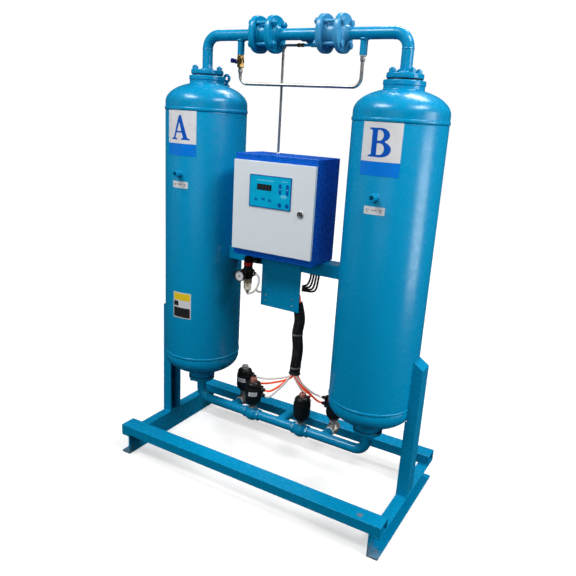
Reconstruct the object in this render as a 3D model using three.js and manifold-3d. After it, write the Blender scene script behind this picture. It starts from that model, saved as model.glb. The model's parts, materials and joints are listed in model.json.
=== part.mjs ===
// Twin-tower adsorption air dryer: two desiccant towers on a channel-section frame, joined at the top
// by flanged pipework with check valves and at the bottom by a valve manifold, with a control box
// between them. Millimetres, +Z up, +X from tower A to tower B, the control box's door facing -Y.
// The origin is on the floor under the middle of the frame.
import * as THREE from "three";
import { mergeVertices } from "three/addons/utils/BufferGeometryUtils.js";
import Module from "manifold-3d";

const wasm = await Module();
wasm.setup();

// ---- driving dimensions ----------------------------------------------------------------------
const GAP = 0.3; // left between pieces that rest on each other
const COPE_GAP = 0.7; // left round a tower where the frame is coped to it
const BASE_LENGTH = 1016; // along X
const BASE_DEPTH = 514; // along Y
const RAIL = { height: 78, flange: 36, web: 5, lip: 7 };
const BAR = { width: 58, height: 34, wall: 4.5 };
const POST = { depth: 59, wall: 5, innerTop: 545, outerTop: 520 };
const BEAM = { width: 64, height: 40, wall: 5, top: 791 };
const PLATE = { left: -71, right: 76, bottom: 612, top: 787, thick: 4 };
const TOWER = { x: 343, radius: 136.5, wall: 6, lowSeam: 380, highSeam: 1235, skirt: 20, crown: 68 };
const NECK = { radius: 59.5, highRim: 1343, highStep: 1328, lowRadius: 51, lowRim: 266, bore: 40 };
const PIPE = { radius: 16.85, bore: 13.6, bend: 41 };
const BRANCH = { radius: 11, bore: 7.5, x: 211, end: 1409 };
const TOP_Z = 1467; // centre line of the top pipework
const LOW_Z = 175; // centre line of the bottom manifold
const PORT = { z: 1030, radius: 10, bore: 5.5, reach: 26 }; // gauge port on each tower's front
const COVER = { radius: 52.5, thick: 14, pitch: 40 }; // bolted flange on each neck
const FLANGE = { radius: 57.5, thick: 16, pitch: 42.5 }; // pipe flanges beside the check valves
const CHECK = { x: 115, spacing: 57, radius: 35 };
const BOLT = { shank: 5, head: 10.5, headHeight: 8 };
const SOCKET = { radius: 21, bore: 14.5, length: 32 };
const OUTLET_Y = 86;
const INLET = { x: 8, y: 197 };
const VALVE = { half: 33, bulge: 25, collar: 21, neck: 13, top: 211, exhaustY: 78 };
const INLET_VALVE_X = { a: -107, b: 96 };
const EXHAUST_VALVE_X = { a: -197, b: 186 };
const SMALL = 5 / 6; // size of the exhaust valves' bodies beside the inlet valves
const ACTUATOR = { radius: 29, bottom: 212, top: 307, cap: 13, capTop: 316, wall: 4 };
const STEM = { radius: 4, bore: 10.5 };
const FITTING = { low: 259, high: 281, reach: 52, radius: 5.5 }; // tube fittings on the actuators
const BOX = { left: -143, right: 147, front: -104, back: 41, bottom: 791.3, top: 1114, sheet: 3, lip: 20 };
const DOOR = { left: -142, right: 146.4, front: -116, back: -104.6, bottom: 813, top: 1094, skin: 2 };
const KEYPAD = { left: -80, right: 69, bottom: 955, top: 1054, thick: 2 };
const LOCK = { x: 104, z: 950, head: 11, barrel: 8 };
const REGULATOR = { x: -115, y: -54, top: 776 };
const GAUGE = { x: -118, y: -104, z: 717, radius: 19.5, depth: 16.7 };
const HARNESS = { y: -13, radius: 18, low: 380, high: 636 };

// ---- colours -----------------------------------------------------------------------------------
const finish = (color, roughness = 0.4, metalness = 0) =>
  new THREE.MeshStandardMaterial({ color, roughness, metalness });
const BLUE = finish(0x0a86b8, 0.3);
const DARK_BLUE = finish(0x0d3fa8, 0.35);
const PALE_GREY = finish(0xccd3d8, 0.4);
const TEAL = finish(0x16a5d2, 0.35);
const BLACK = finish(0x16181a, 0.5);
const BLACK_RUBBER = finish(0x121212, 0.8);
const STEEL = finish(0xb4b2ac, 0.3, 1);
const STAINLESS = finish(0x9a948c, 0.4, 1);
const BRASS = finish(0xb08a48, 0.35, 1);
const BEADS = finish(0xe6e1d6, 0.9);
const CLEAR = finish(0xcfc6b4, 0.1);
const BOARD_GREEN = finish(0x1f5a34, 0.6);
const TUBE_RED = finish(0xe63a1c, 0.35);

// ---- small tools -------------------------------------------------------------------------------
const at = (x, y, z) => new THREE.Vector3(x, y, z);

// A closed geometry as a solid that can be joined and cut.
function toSolid(geometry) {
  const flat = geometry.index ? geometry.toNonIndexed() : geometry;
  const bare = new THREE.BufferGeometry().setAttribute("position", flat.getAttribute("position"));
  const merged = mergeVertices(bare, 1e-3);
  const mesh = new wasm.Mesh({
    numProp: 3,
    vertProperties: merged.attributes.position.array,
    triVerts: new Uint32Array(merged.index.array),
  });
  return new wasm.Manifold(mesh);
}

function toGeometry(solid) {
  const mesh = solid.getMesh();
  return new THREE.BufferGeometry()
    .setAttribute("position", new THREE.BufferAttribute(mesh.vertProperties.slice(), 3))
    .setIndex(new THREE.BufferAttribute(mesh.triVerts.slice(), 1));
}

function join(...pieces) {
  return toGeometry(pieces.map(toSolid).reduce((sum, piece) => sum.add(piece)));
}

function cut(body, ...tools) {
  return toGeometry(tools.map(toSolid).reduce((rest, tool) => rest.subtract(tool), toSolid(body)));
}

function box(low, high) {
  const size = high.clone().sub(low);
  const middle = low.clone().add(high).multiplyScalar(0.5);
  return new THREE.BoxGeometry(size.x, size.y, size.z).translate(middle.x, middle.y, middle.z);
}

// A cylinder from one point to another.
function rod(from, to, radius, sides = 12) {
  const run = to.clone().sub(from);
  const turn = new THREE.Quaternion().setFromUnitVectors(at(0, 1, 0), run.clone().normalize());
  const middle = from.clone().add(to).multiplyScalar(0.5);
  return new THREE.CylinderGeometry(radius, radius, run.length(), sides)
    .applyQuaternion(turn)
    .translate(middle.x, middle.y, middle.z);
}

// A turned piece about +Z from [radius, height] pairs, which run up the outside.
function turned(profile, sides = 24) {
  const points = profile.map(([radius, height]) => new THREE.Vector2(radius, height));
  return new THREE.LatheGeometry(points, sides).rotateX(Math.PI / 2);
}

// A turned ring: a tube wall between two radii.
function ring(inner, outer, low, high, sides = 24) {
  return turned([[inner, low], [outer, low], [outer, high], [inner, high], [inner, low]], sides);
}

// A piece about +Z laid along +X.
const alongX = (geometry) => geometry.rotateY(Math.PI / 2);

// A flat outline of [a, b] pairs, extruded.
function extruded(outline, depth) {
  const shape = new THREE.Shape(outline.map(([a, b]) => new THREE.Vector2(a, b)));
  return new THREE.ExtrudeGeometry(shape, { depth, bevelEnabled: false });
}

// A path of straight runs joined by round bends.
function bentPath(corners, bend) {
  const CIRCLE_HANDLE = 0.5523; // share of a quarter circle's corner that its curve handles reach
  const path = new THREE.CurvePath();
  let from = corners[0];
  corners.slice(1, -1).forEach((corner, i) => {
    const back = corners[i].clone().sub(corner).normalize();
    const ahead = corners[i + 2].clone().sub(corner).normalize();
    const reach = bend / Math.tan(back.angleTo(ahead) / 2);
    const start = corner.clone().addScaledVector(back, reach);
    const end = corner.clone().addScaledVector(ahead, reach);
    const handles = [start, end].map((point) => point.clone().lerp(corner, CIRCLE_HANDLE));
    path.add(new THREE.LineCurve3(from, start));
    path.add(new THREE.CubicBezierCurve3(start, ...handles, end));
    from = end;
  });
  path.add(new THREE.LineCurve3(from, corners.at(-1)));
  return path;
}

// A round bar or tube along a path.
function swept(path, radius, steps, sides = 12) {
  const section = new THREE.Shape(
    Array.from({ length: sides }, (_, i) => {
      const angle = (2 * Math.PI * i) / sides;
      return new THREE.Vector2(radius * Math.cos(angle), radius * Math.sin(angle));
    }),
  );
  return new THREE.ExtrudeGeometry(section, { steps, extrudePath: path, bevelEnabled: false });
}

const smooth = (points) => new THREE.CatmullRomCurve3(points.map((p) => at(...p)), false, "centripetal");

// Four pieces on a pitch circle, at 45 degrees to the axes, about +Z.
function onPitch(radius, make) {
  return [45, 135, 225, 315].map((degrees) => {
    const angle = THREE.MathUtils.degToRad(degrees);
    return make(radius * Math.cos(angle), radius * Math.sin(angle));
  });
}

const hexBar = (x, y, low, high, radius) => rod(at(x, y, low), at(x, y, high), radius, 6);

function piece(name, geometry, material, parent) {
  const mesh = new THREE.Mesh(geometry, material);
  mesh.name = name;
  parent.add(mesh);
  return mesh;
}

const dryer = new THREE.Group();

// ---- frame -------------------------------------------------------------------------------------
const HALF_LENGTH = BASE_LENGTH / 2;
const HALF_DEPTH = BASE_DEPTH / 2;
const POST_INNER = HALF_LENGTH - RAIL.flange;

// Side rails: channels on their edge, web inward, running the whole depth.
function sideRail(side) {
  const { height, flange, web, lip } = RAIL;
  const inner = POST_INNER;
  const outline = [
    [inner, 0], [HALF_LENGTH, 0], [HALF_LENGTH, lip], [inner + web, lip],
    [inner + web, height - lip], [HALF_LENGTH, height - lip], [HALF_LENGTH, height], [inner, height],
  ];
  const rail = extruded(outline, BASE_DEPTH).rotateX(Math.PI / 2).translate(0, HALF_DEPTH, 0);
  return side < 0 ? rail.rotateZ(Math.PI) : rail;
}

// Front and rear bars: channels lying web up across the rails.
function crossBar(side) {
  const { width, height, wall } = BAR;
  const near = HALF_DEPTH - width;
  const low = RAIL.height + GAP;
  const outline = [
    [near, low], [near + wall, low], [near + wall, low + height - wall],
    [HALF_DEPTH - wall, low + height - wall], [HALF_DEPTH - wall, low], [HALF_DEPTH, low],
    [HALF_DEPTH, low + height], [near, low + height],
  ];
  // the outline's a is Y and its b is Z, so the extrusion is turned to run along X
  const bar = extruded(outline, BASE_LENGTH)
    .rotateX(Math.PI / 2)
    .rotateZ(Math.PI / 2)
    .translate(-HALF_LENGTH, 0, 0);
  return side < 0 ? bar.rotateZ(Math.PI) : bar;
}

// A tower's outside, grown a little, for coping the frame to it.
const towerBody = (x, extra) =>
  rod(at(x, 0, TOWER.lowSeam - 40), at(x, 0, TOWER.highSeam), TOWER.radius + extra, 96);

// Posts: channels standing on the rails, open towards the tower and coped to it, with a sloping cap.
function post(side) {
  const { depth, wall, innerTop, outerTop } = POST;
  const low = RAIL.height + GAP;
  const half = depth / 2;
  const height = innerTop - low;
  const outline = [
    [POST_INNER, -half], [HALF_LENGTH, -half], [HALF_LENGTH, half], [POST_INNER, half],
    [POST_INNER, half - wall], [HALF_LENGTH - wall, half - wall],
    [HALF_LENGTH - wall, -half + wall], [POST_INNER, -half + wall],
  ];
  const channel = extruded(outline, height).translate(0, 0, low);
  const waste = [
    [POST_INNER - 1, innerTop], [HALF_LENGTH + 1, outerTop],
    [HALF_LENGTH + 1, innerTop + 9], [POST_INNER - 1, innerTop + 9],
  ];
  const above = extruded(waste, depth + 2).rotateX(Math.PI / 2).translate(0, half + 1, 0);
  const capOutline = [
    [POST_INNER, innerTop - wall], [HALF_LENGTH, outerTop - wall],
    [HALF_LENGTH, outerTop], [POST_INNER, innerTop],
  ];
  const cap = extruded(capOutline, depth).rotateX(Math.PI / 2).translate(0, half, 0);
  const standing = cut(join(cut(channel, above), cap), towerBody(TOWER.x, COPE_GAP));
  return side < 0 ? standing.rotateZ(Math.PI) : standing;
}

// The beam between the towers: a channel web up, coped to both of them.
function crossBeam() {
  const { width, height, wall, top } = BEAM;
  const half = width / 2;
  const outline = [
    [-half, top - height], [-half + wall, top - height], [-half + wall, top - wall],
    [half - wall, top - wall], [half - wall, top - height], [half, top - height],
    [half, top], [-half, top],
  ];
  const length = 2 * TOWER.x - TOWER.radius;
  const beam = extruded(outline, length).rotateX(Math.PI / 2).rotateZ(Math.PI / 2).translate(-length / 2, 0, 0);
  return cut(beam, towerBody(-TOWER.x, COPE_GAP), towerBody(TOWER.x, COPE_GAP));
}

const frame = new THREE.Group();
dryer.add(frame);
piece("side_rail_left", sideRail(-1), BLUE, frame);
piece("side_rail_right", sideRail(1), BLUE, frame);
piece("front_bar", crossBar(-1), BLUE, frame);
piece("rear_bar", crossBar(1), BLUE, frame);
piece("post_left", post(-1), BLUE, frame);
piece("post_right", post(1), BLUE, frame);
piece("cross_beam", crossBeam(), BLUE, frame);
const PLATE_Y = -BEAM.width / 2 - GAP;
piece(
  "valve_plate",
  box(at(PLATE.left, PLATE_Y - PLATE.thick, PLATE.bottom), at(PLATE.right, PLATE_Y, PLATE.top)),
  BLUE,
  frame,
);

// ---- towers ------------------------------------------------------------------------------------
// Radius and height of a dished head at an angle from its pole, for an outer or inner surface.
function dish(radius, crown, seam, upward, startRadius, steps) {
  const first = Math.asin(startRadius / radius);
  return Array.from({ length: steps + 1 }, (_, i) => {
    const angle = first + ((Math.PI / 2 - first) * i) / steps;
    return [radius * Math.sin(angle), seam + upward * crown * Math.cos(angle)];
  });
}

function vessel() {
  const { radius, wall, lowSeam, highSeam, skirt, crown } = TOWER;
  const inside = radius - wall;
  const outer = [
    [NECK.lowRadius, NECK.lowRim],
    ...dish(radius, crown, lowSeam - skirt, -1, NECK.lowRadius + 5, 3),
    ...dish(radius, crown, highSeam + skirt, 1, NECK.radius + 2, 3).reverse(),
    [NECK.radius, NECK.highStep],
    [NECK.radius, NECK.highRim],
  ];
  const inner = [
    [NECK.bore, NECK.highRim],
    ...dish(inside, crown - wall, highSeam + skirt, 1, NECK.bore, 2),
    ...dish(inside, crown - wall, lowSeam - skirt, -1, NECK.bore, 2).reverse(),
    [NECK.bore, NECK.lowRim],
  ];
  const shell = turned([...outer, ...inner, outer[0]], 20);
  const port = rod(at(0, -radius + 4, PORT.z), at(0, -radius - PORT.reach, PORT.z), PORT.radius, 10);
  const bore = rod(at(0, -radius + 12, PORT.z), at(0, -radius - PORT.reach - 1, PORT.z), PORT.bore, 6);
  return cut(join(shell, port), bore);
}

// Lifting eye on the shoulder, behind the neck.
function liftingEye() {
  const thick = 10;
  const outline = new THREE.Shape();
  outline.moveTo(-15, 0);
  outline.lineTo(15, 0);
  outline.lineTo(15, 28);
  outline.absarc(0, 28, 15, 0, Math.PI, false);
  outline.closePath();
  outline.holes.push(new THREE.Path().absarc(0, 28, 8.5, 0, 2 * Math.PI, true));
  return new THREE.ExtrudeGeometry(outline, { depth: thick, bevelEnabled: false, curveSegments: 8 })
    .rotateX(Math.PI / 2)
    .translate(0, thick / 2, 0);
}

const SCREEN_THICK = 3;
const EYE = { inward: 25, behind: 75, foot: 1314 }; // from its tower's axis, and the height of its foot
for (const [letter, side] of [["a", -1], ["b", 1]]) {
  const tower = new THREE.Group();
  tower.position.x = side * TOWER.x;
  dryer.add(tower);
  piece(`vessel_${letter}`, vessel(), BLUE, tower);
  const fit = TOWER.radius - TOWER.wall - 3;
  const bedLow = TOWER.lowSeam + SCREEN_THICK + GAP;
  const bedHigh = TOWER.highSeam - SCREEN_THICK - GAP;
  piece(`desiccant_bed_${letter}`, rod(at(0, 0, bedLow), at(0, 0, bedHigh), fit, 20), BEADS, tower);
  const screen = (low) => ring(6, fit, low, low + SCREEN_THICK, 20);
  piece(`lower_screen_${letter}`, screen(TOWER.lowSeam), STAINLESS, tower);
  piece(`upper_screen_${letter}`, screen(TOWER.highSeam - SCREEN_THICK), STAINLESS, tower);
  const eye = piece(`lifting_eye_${letter}`, liftingEye(), BLUE, tower);
  eye.position.set(-side * EYE.inward, EYE.behind, EYE.foot);
  const gasket = ring(30, COVER.radius - 3, NECK.highRim + GAP, NECK.highRim + 4, 16);
  piece(`top_gasket_${letter}`, gasket, BLACK_RUBBER, tower);
}

// ---- top pipework ------------------------------------------------------------------------------
const COVER_LOW = NECK.highRim + 4 + GAP;
const FLANGE_X = [CHECK.x - CHECK.spacing / 2, CHECK.x + CHECK.spacing / 2]; // inner and outer flange

// Bolts through a check valve: head on the outer flange, shank to just short of the inner flange.
function clampBolts(side) {
  const outer = FLANGE_X[1] + FLANGE.thick / 2;
  const inner = FLANGE_X[0] + FLANGE.thick / 2 + GAP;
  return onPitch(FLANGE.pitch, (y, z) => [
    rod(at(side * inner, y, TOP_Z + z), at(side * (outer + 1), y, TOP_Z + z), BOLT.shank, 6),
    rod(at(side * outer, y, TOP_Z + z), at(side * (outer + BOLT.headHeight), y, TOP_Z + z), BOLT.head, 6),
  ]).flat();
}

function pipeFlange(x) {
  const half = FLANGE.thick / 2;
  return rod(at(x - half, 0, TOP_Z), at(x + half, 0, TOP_Z), FLANGE.radius, 20);
}

function topPipe(side) {
  const x = side * TOWER.x;
  const end = side * (FLANGE_X[1] - FLANGE.thick / 2);
  const corners = [at(x, 0, COVER_LOW), at(x, 0, TOP_Z), at(end, 0, TOP_Z)];
  const boreCorners = [at(x, 0, COVER_LOW - 1), at(x, 0, TOP_Z), at(end - side, 0, TOP_Z)];
  const coverTop = COVER_LOW + COVER.thick;
  const branch = (radius, low) => rod(at(side * BRANCH.x, 0, TOP_Z), at(side * BRANCH.x, 0, low), radius, 8);
  const outside = join(
    swept(bentPath(corners, PIPE.bend), PIPE.radius, 10),
    rod(at(x, 0, COVER_LOW), at(x, 0, coverTop), COVER.radius, 16),
    ...onPitch(COVER.pitch, (a, b) => hexBar(x + a, b, coverTop - 1, coverTop + 15, BOLT.head)),
    branch(BRANCH.radius, BRANCH.end),
    pipeFlange(side * FLANGE_X[1]),
    ...clampBolts(side),
  );
  const bore = swept(bentPath(boreCorners, PIPE.bend), PIPE.bore, 10, 8);
  return cut(outside, bore, branch(BRANCH.bore, BRANCH.end - 1));
}

// The middle pipe with a flange at each end, nuts on the flanges, and the outlet branch behind it.
function outletPipe() {
  const reach = FLANGE_X[0] + FLANGE.thick / 2;
  const nuts = [-1, 1].flatMap((side) =>
    onPitch(FLANGE.pitch, (y, z) => {
      const face = side * (FLANGE_X[0] - FLANGE.thick / 2);
      return rod(at(face, y, TOP_Z + z), at(face - side * 13, y, TOP_Z + z), BOLT.head, 6);
    }),
  );
  const outside = join(
    rod(at(-reach, 0, TOP_Z), at(reach, 0, TOP_Z), PIPE.radius, 12),
    pipeFlange(-FLANGE_X[0]),
    pipeFlange(FLANGE_X[0]),
    rod(at(INLET.x, 0, TOP_Z), at(INLET.x, OUTLET_Y - 2, TOP_Z), PIPE.radius, 12),
    rod(at(INLET.x, OUTLET_Y - SOCKET.length, TOP_Z), at(INLET.x, OUTLET_Y, TOP_Z), SOCKET.radius, 12),
    ...nuts,
  );
  return cut(
    outside,
    rod(at(-reach - 1, 0, TOP_Z), at(reach + 1, 0, TOP_Z), PIPE.bore, 8),
    rod(at(INLET.x, 0, TOP_Z), at(INLET.x, OUTLET_Y + 1, TOP_Z), SOCKET.bore, 12),
  );
}

// The wafer body: a bore on the tower side and a chamber behind it for the disc.
const CHECK_HALF = (CHECK.spacing - FLANGE.thick) / 2 - GAP;
const SEAT = 3; // thickness of the chamber's wall on the tower side
function checkBody(side) {
  const along = (from, to, radius, sides) =>
    rod(at(side * (CHECK.x + from), 0, TOP_Z), at(side * (CHECK.x + to), 0, TOP_Z), radius, sides);
  return cut(
    along(-CHECK_HALF, CHECK_HALF, CHECK.radius, 20),
    along(-CHECK_HALF - 1, CHECK_HALF + 1, 12, 8),
    along(-CHECK_HALF + 12, CHECK_HALF - SEAT, 20, 12),
  );
}

// The spring-loaded disc rests on the chamber's tower side and lifts towards the middle.
function checkDisc(side) {
  const seat = side * (CHECK.x + CHECK_HALF - SEAT - GAP);
  return rod(at(seat, 0, TOP_Z), at(seat - side * 5, 0, TOP_Z), 17.5, 12);
}

// The purge line: a bent tube between the two branches, with a small ball valve on the left one.
const PURGE = { x: -BRANCH.x, bottom: 1322, radius: 5, bend: 26, nut: 8, nutLength: 18 };
const VALVE_LOW = 1371;
const HANDLE_Z = 1391;
function purgeTube() {
  const { x, bottom, radius, bend, nutLength } = PURGE;
  const nut = (middle, high) => hexBar(middle, 0, high - nutLength, high - GAP, PURGE.nut);
  const corners = [
    at(x, 0, VALVE_LOW - 10), at(x, 0, bottom), at(BRANCH.x, 0, bottom), at(BRANCH.x, 0, BRANCH.end - 10),
  ];
  return join(
    swept(bentPath(corners, bend), radius, 32, 8),
    nut(x, VALVE_LOW),
    nut(BRANCH.x, BRANCH.end),
  );
}

// The valve's T handle on its stem, which points away from the middle.
function purgeHandle() {
  const stem = PURGE.x - 12;
  return join(
    rod(at(stem, 0, HANDLE_Z), at(stem - 10, 0, HANDLE_Z), 4, 12),
    box(at(stem - 17, -17, HANDLE_Z - 5), at(stem - 9, 17, HANDLE_Z + 5)),
  );
}

function purgeBody() {
  const { x } = PURGE;
  return join(
    hexBar(x, 0, VALVE_LOW, VALVE_LOW + 12, 12.5),
    rod(at(x, 0, VALVE_LOW + 2), at(x, 0, BRANCH.end - GAP), 10.5, 16),
    hexBar(x, 0, BRANCH.end - 12, BRANCH.end - GAP - 1, 12.5),
  );
}

// Pilot air: from the control box up to the underside of the outlet pipe.
const PILOT = { x: -61, y: 12, z: 1438, end: 48, bend: 14 };
function pilotTube() {
  const reach = PIPE.radius + 0.5;
  const drop = Math.hypot(PILOT.y, TOP_Z - PILOT.z);
  const last = at(PILOT.end, (PILOT.y * reach) / drop, TOP_Z - ((TOP_Z - PILOT.z) * reach) / drop);
  const corners = [
    at(PILOT.x, PILOT.y, BOX.top + GAP), at(PILOT.x, PILOT.y, PILOT.z), at(PILOT.end - 6, PILOT.y, PILOT.z),
  ];
  return join(
    swept(bentPath(corners, PILOT.bend), 4, 20, 8),
    rod(at(-11, PILOT.y, PILOT.z), at(11, PILOT.y, PILOT.z), 6.5, 6),
    rod(at(PILOT.end - 12, PILOT.y, PILOT.z), at(PILOT.end + 5, PILOT.y, PILOT.z), 6, 8),
    rod(at(PILOT.end, PILOT.y, PILOT.z), last, 5, 6),
  );
}

const piping = new THREE.Group();
dryer.add(piping);
for (const [letter, side] of [["a", -1], ["b", 1]]) {
  piece(`top_pipe_${letter}`, topPipe(side), BLUE, piping);
  piece(`check_valve_body_${letter}`, checkBody(side), BLUE, piping);
  piece(`check_valve_disc_${letter}`, checkDisc(side), STAINLESS, piping);
}
piece("outlet_pipe", outletPipe(), BLUE, piping);
piece("purge_valve_body", purgeBody(), BRASS, piping);
piece("purge_valve_handle", purgeHandle(), DARK_BLUE, piping);
piece("purge_tube", purgeTube(), STEEL, piping);
piece("pilot_air_tube", pilotTube(), STEEL, piping);

// ---- bottom manifold -----------------------------------------------------------------------------
function manifold(letter, side) {
  const x = side * TOWER.x;
  const rim = NECK.lowRim - GAP;
  const end = INLET_VALVE_X[letter] + side * (VALVE.half + GAP);
  const branchX = EXHAUST_VALVE_X[letter];
  const branchEnd = VALVE.exhaustY - VALVE.half * SMALL - GAP;
  const corners = [at(x, 0, rim - 4), at(x, 0, LOW_Z), at(end, 0, LOW_Z)];
  const under = rim - COVER.thick;
  return join(
    swept(bentPath(corners, PIPE.bend), PIPE.radius, 10),
    rod(at(x, 0, under), at(x, 0, rim), NECK.lowRadius - 1, 16),
    ...onPitch(COVER.pitch - 2, (a, b) => hexBar(x + a, b, under - 9, under + 1, BOLT.head)),
    rod(at(branchX, 0, LOW_Z), at(branchX, branchEnd, LOW_Z), PIPE.radius - 2, 8),
  );
}

function inletPipe() {
  const left = INLET_VALVE_X.a + VALVE.half + GAP;
  const right = INLET_VALVE_X.b - VALVE.half - GAP;
  const outside = join(
    rod(at(left, 0, LOW_Z), at(right, 0, LOW_Z), PIPE.radius, 12),
    rod(at(INLET.x, 0, LOW_Z), at(INLET.x, INLET.y - 2, LOW_Z), PIPE.radius, 12),
    rod(at(INLET.x, INLET.y - SOCKET.length, LOW_Z), at(INLET.x, INLET.y, LOW_Z), SOCKET.radius, 12),
  );
  return cut(outside, rod(at(INLET.x, 0, LOW_Z), at(INLET.x, INLET.y + 1, LOW_Z), SOCKET.bore, 12));
}

// A piston valve: a bulged body on its pipe's axis with a neck up to the actuator, hollow inside.
function valveBody(scale) {
  const [half, bulge, collar] = [VALVE.half, VALVE.bulge, VALVE.collar].map((size) => size * scale);
  const waist = half / 3;
  const profile = [
    [0, -half], [collar, -half], [collar, -2 * waist], [bulge, -waist],
    [bulge, waist], [collar, 2 * waist], [collar, half], [0, half],
  ];
  const rise = VALVE.top - LOW_Z;
  return cut(
    join(alongX(turned(profile, 12)), rod(at(0, 0, 0), at(0, 0, rise), VALVE.neck, 12)),
    rod(at(-half - 1, 0, 0), at(half + 1, 0, 0), STEM.bore, 8),
    rod(at(0, 0, -STEM.bore + 1), at(0, 0, rise + 1), STEM.bore, 12),
  );
}

// Actuator housing: a hollow cylinder with a cap, open underneath round the stem, with a port block
// and two tube fittings on the side that its angle names.
function actuator(degrees) {
  const { radius, bottom, top, cap, capTop, wall } = ACTUATOR;
  const shell = turned([
    [6, bottom + GAP], [16, bottom + GAP], [radius, bottom + 14], [radius, top - 8], [radius - 7, top],
    [cap, top], [cap, capTop], [0, capTop], [0, capTop - 2], [cap - 3, capTop - 2], [cap - 3, top - wall],
    [radius - wall, top - wall - 8], [radius - wall, bottom + 18], [6, bottom + 10], [6, bottom + GAP],
  ], 14);
  const block = box(at(radius - 3, -9, FITTING.low - 10), at(radius + 9, 9, FITTING.high + 10));
  const fittings = [FITTING.low, FITTING.high].map((z) =>
    rod(at(radius + 8, 0, z), at(FITTING.reach, 0, z), FITTING.radius, 6),
  );
  return join(shell, block, ...fittings).rotateZ(THREE.MathUtils.degToRad(degrees));
}

// Valve stem: plug in the bore, rod, piston and the position button under the cap.
function valveStem() {
  const low = LOW_Z - 8;
  const piston = ACTUATOR.bottom + 24;
  const room = ACTUATOR.radius - ACTUATOR.wall;
  return join(
    rod(at(0, 0, low), at(0, 0, low + 16), STEM.bore - 1.5, 10),
    rod(at(0, 0, low + 8), at(0, 0, ACTUATOR.top - 14), STEM.radius, 6),
    rod(at(0, 0, piston), at(0, 0, piston + 10), room - 2.5, 12),
    rod(at(0, 0, ACTUATOR.top - 20), at(0, 0, ACTUATOR.top - 8), 7, 6),
  );
}

const manifoldGroup = new THREE.Group();
dryer.add(manifoldGroup);
piece("manifold_a", manifold("a", -1), BLUE, manifoldGroup);
piece("manifold_b", manifold("b", 1), BLUE, manifoldGroup);
piece("inlet_pipe", inletPipe(), BLUE, manifoldGroup);
// name, x, y, colour, size, and the side that the actuator's ports face, in degrees from +X
const stations = [
  ["inlet_valve_a", INLET_VALVE_X.a, 0, BLUE, 1, 0],
  ["inlet_valve_b", INLET_VALVE_X.b, 0, BLUE, 1, 90],
  ["exhaust_valve_a", EXHAUST_VALVE_X.a, VALVE.exhaustY, STAINLESS, SMALL, 0],
  ["exhaust_valve_b", EXHAUST_VALVE_X.b, VALVE.exhaustY, STAINLESS, SMALL, 180],
];
for (const [name, x, y, material, scale, ports] of stations) {
  const station = new THREE.Group();
  station.position.set(x, y, 0);
  manifoldGroup.add(station);
  const body = valveBody(scale).rotateZ(y > 0 ? Math.PI / 2 : 0);
  piece(`${name}_body`, body, material, station).position.z = LOW_Z;
  piece(`${name}_actuator`, actuator(ports), BLACK, station);
  piece(`${name}_stem`, valveStem(), STAINLESS, station);
}

// ---- control box -------------------------------------------------------------------------------
function boxBody() {
  const { left, right, front, back, bottom, top, sheet, lip } = BOX;
  const block = box(at(left, front, bottom), at(right, back, top));
  const room = box(
    at(left + sheet, front + sheet, bottom + sheet),
    at(right - sheet, back - sheet, top - sheet),
  );
  const mouth = box(
    at(left + lip, front - 1, bottom + lip + 6),
    at(right - lip, front + sheet + 1, top - lip - 6),
  );
  return cut(cut(block, room), mouth);
}

// The door: a shallow tray hinged at its left edge, with a hole for the lock.
function boxDoor() {
  const { left, right, front, back, bottom, top, skin } = DOOR;
  const slab = box(at(left, front, bottom), at(right, back, top));
  const hollow = box(at(left + skin, front + skin, bottom + skin), at(right - skin, back + 1, top - skin));
  const hole = rod(at(LOCK.x, front - 1, LOCK.z), at(LOCK.x, back + 1, LOCK.z), LOCK.barrel + 0.6, 24);
  return cut(slab, hollow, hole);
}

function doorLock() {
  const { x, z, head, barrel } = LOCK;
  const face = DOOR.front - GAP;
  return join(
    rod(at(x, face - 4, z), at(x, face, z), head, 24),
    rod(at(x, face - 1, z), at(x, DOOR.back + 12, z), barrel, 24),
    box(at(x - 6, DOOR.back + 8.5, z - 30), at(x + 6, DOOR.back + 11.5, z + 6)),
  );
}

const controls = new THREE.Group();
dryer.add(controls);
piece("box_body", boxBody(), DARK_BLUE, controls);
piece("box_door", boxDoor(), PALE_GREY, controls);
const padFront = DOOR.front - KEYPAD.thick - GAP;
piece(
  "keypad_panel",
  box(at(KEYPAD.left, padFront, KEYPAD.bottom), at(KEYPAD.right, DOOR.front - GAP, KEYPAD.top)),
  TEAL,
  controls,
);
piece("door_lock", doorLock(), STEEL, controls);
// The controller: a board on the back of the door behind the keypad, with its terminal strip.
function controllerBoard() {
  const front = DOOR.front + DOOR.skin + GAP;
  const { left, right, bottom, top } = KEYPAD;
  return join(
    box(at(left + 6, front + 3, bottom + 5), at(right - 6, front + 5, top - 5)),
    box(at(left + 26, front, top - 48), at(left + 82, front + 4, top - 24)),
    box(at(left + 14, front + 4, bottom + 8), at(right - 14, front + 9, bottom + 20)),
  );
}
piece("controller_board", controllerBoard(), BOARD_GREEN, controls);

// ---- air preparation under the box ---------------------------------------------------------------
// Heights down the filter regulator from its knob's top.
const REG = { knob: 19, neck: 36, body: 76, bowl: 122, drain: 130, radius: 15.5 };

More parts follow.
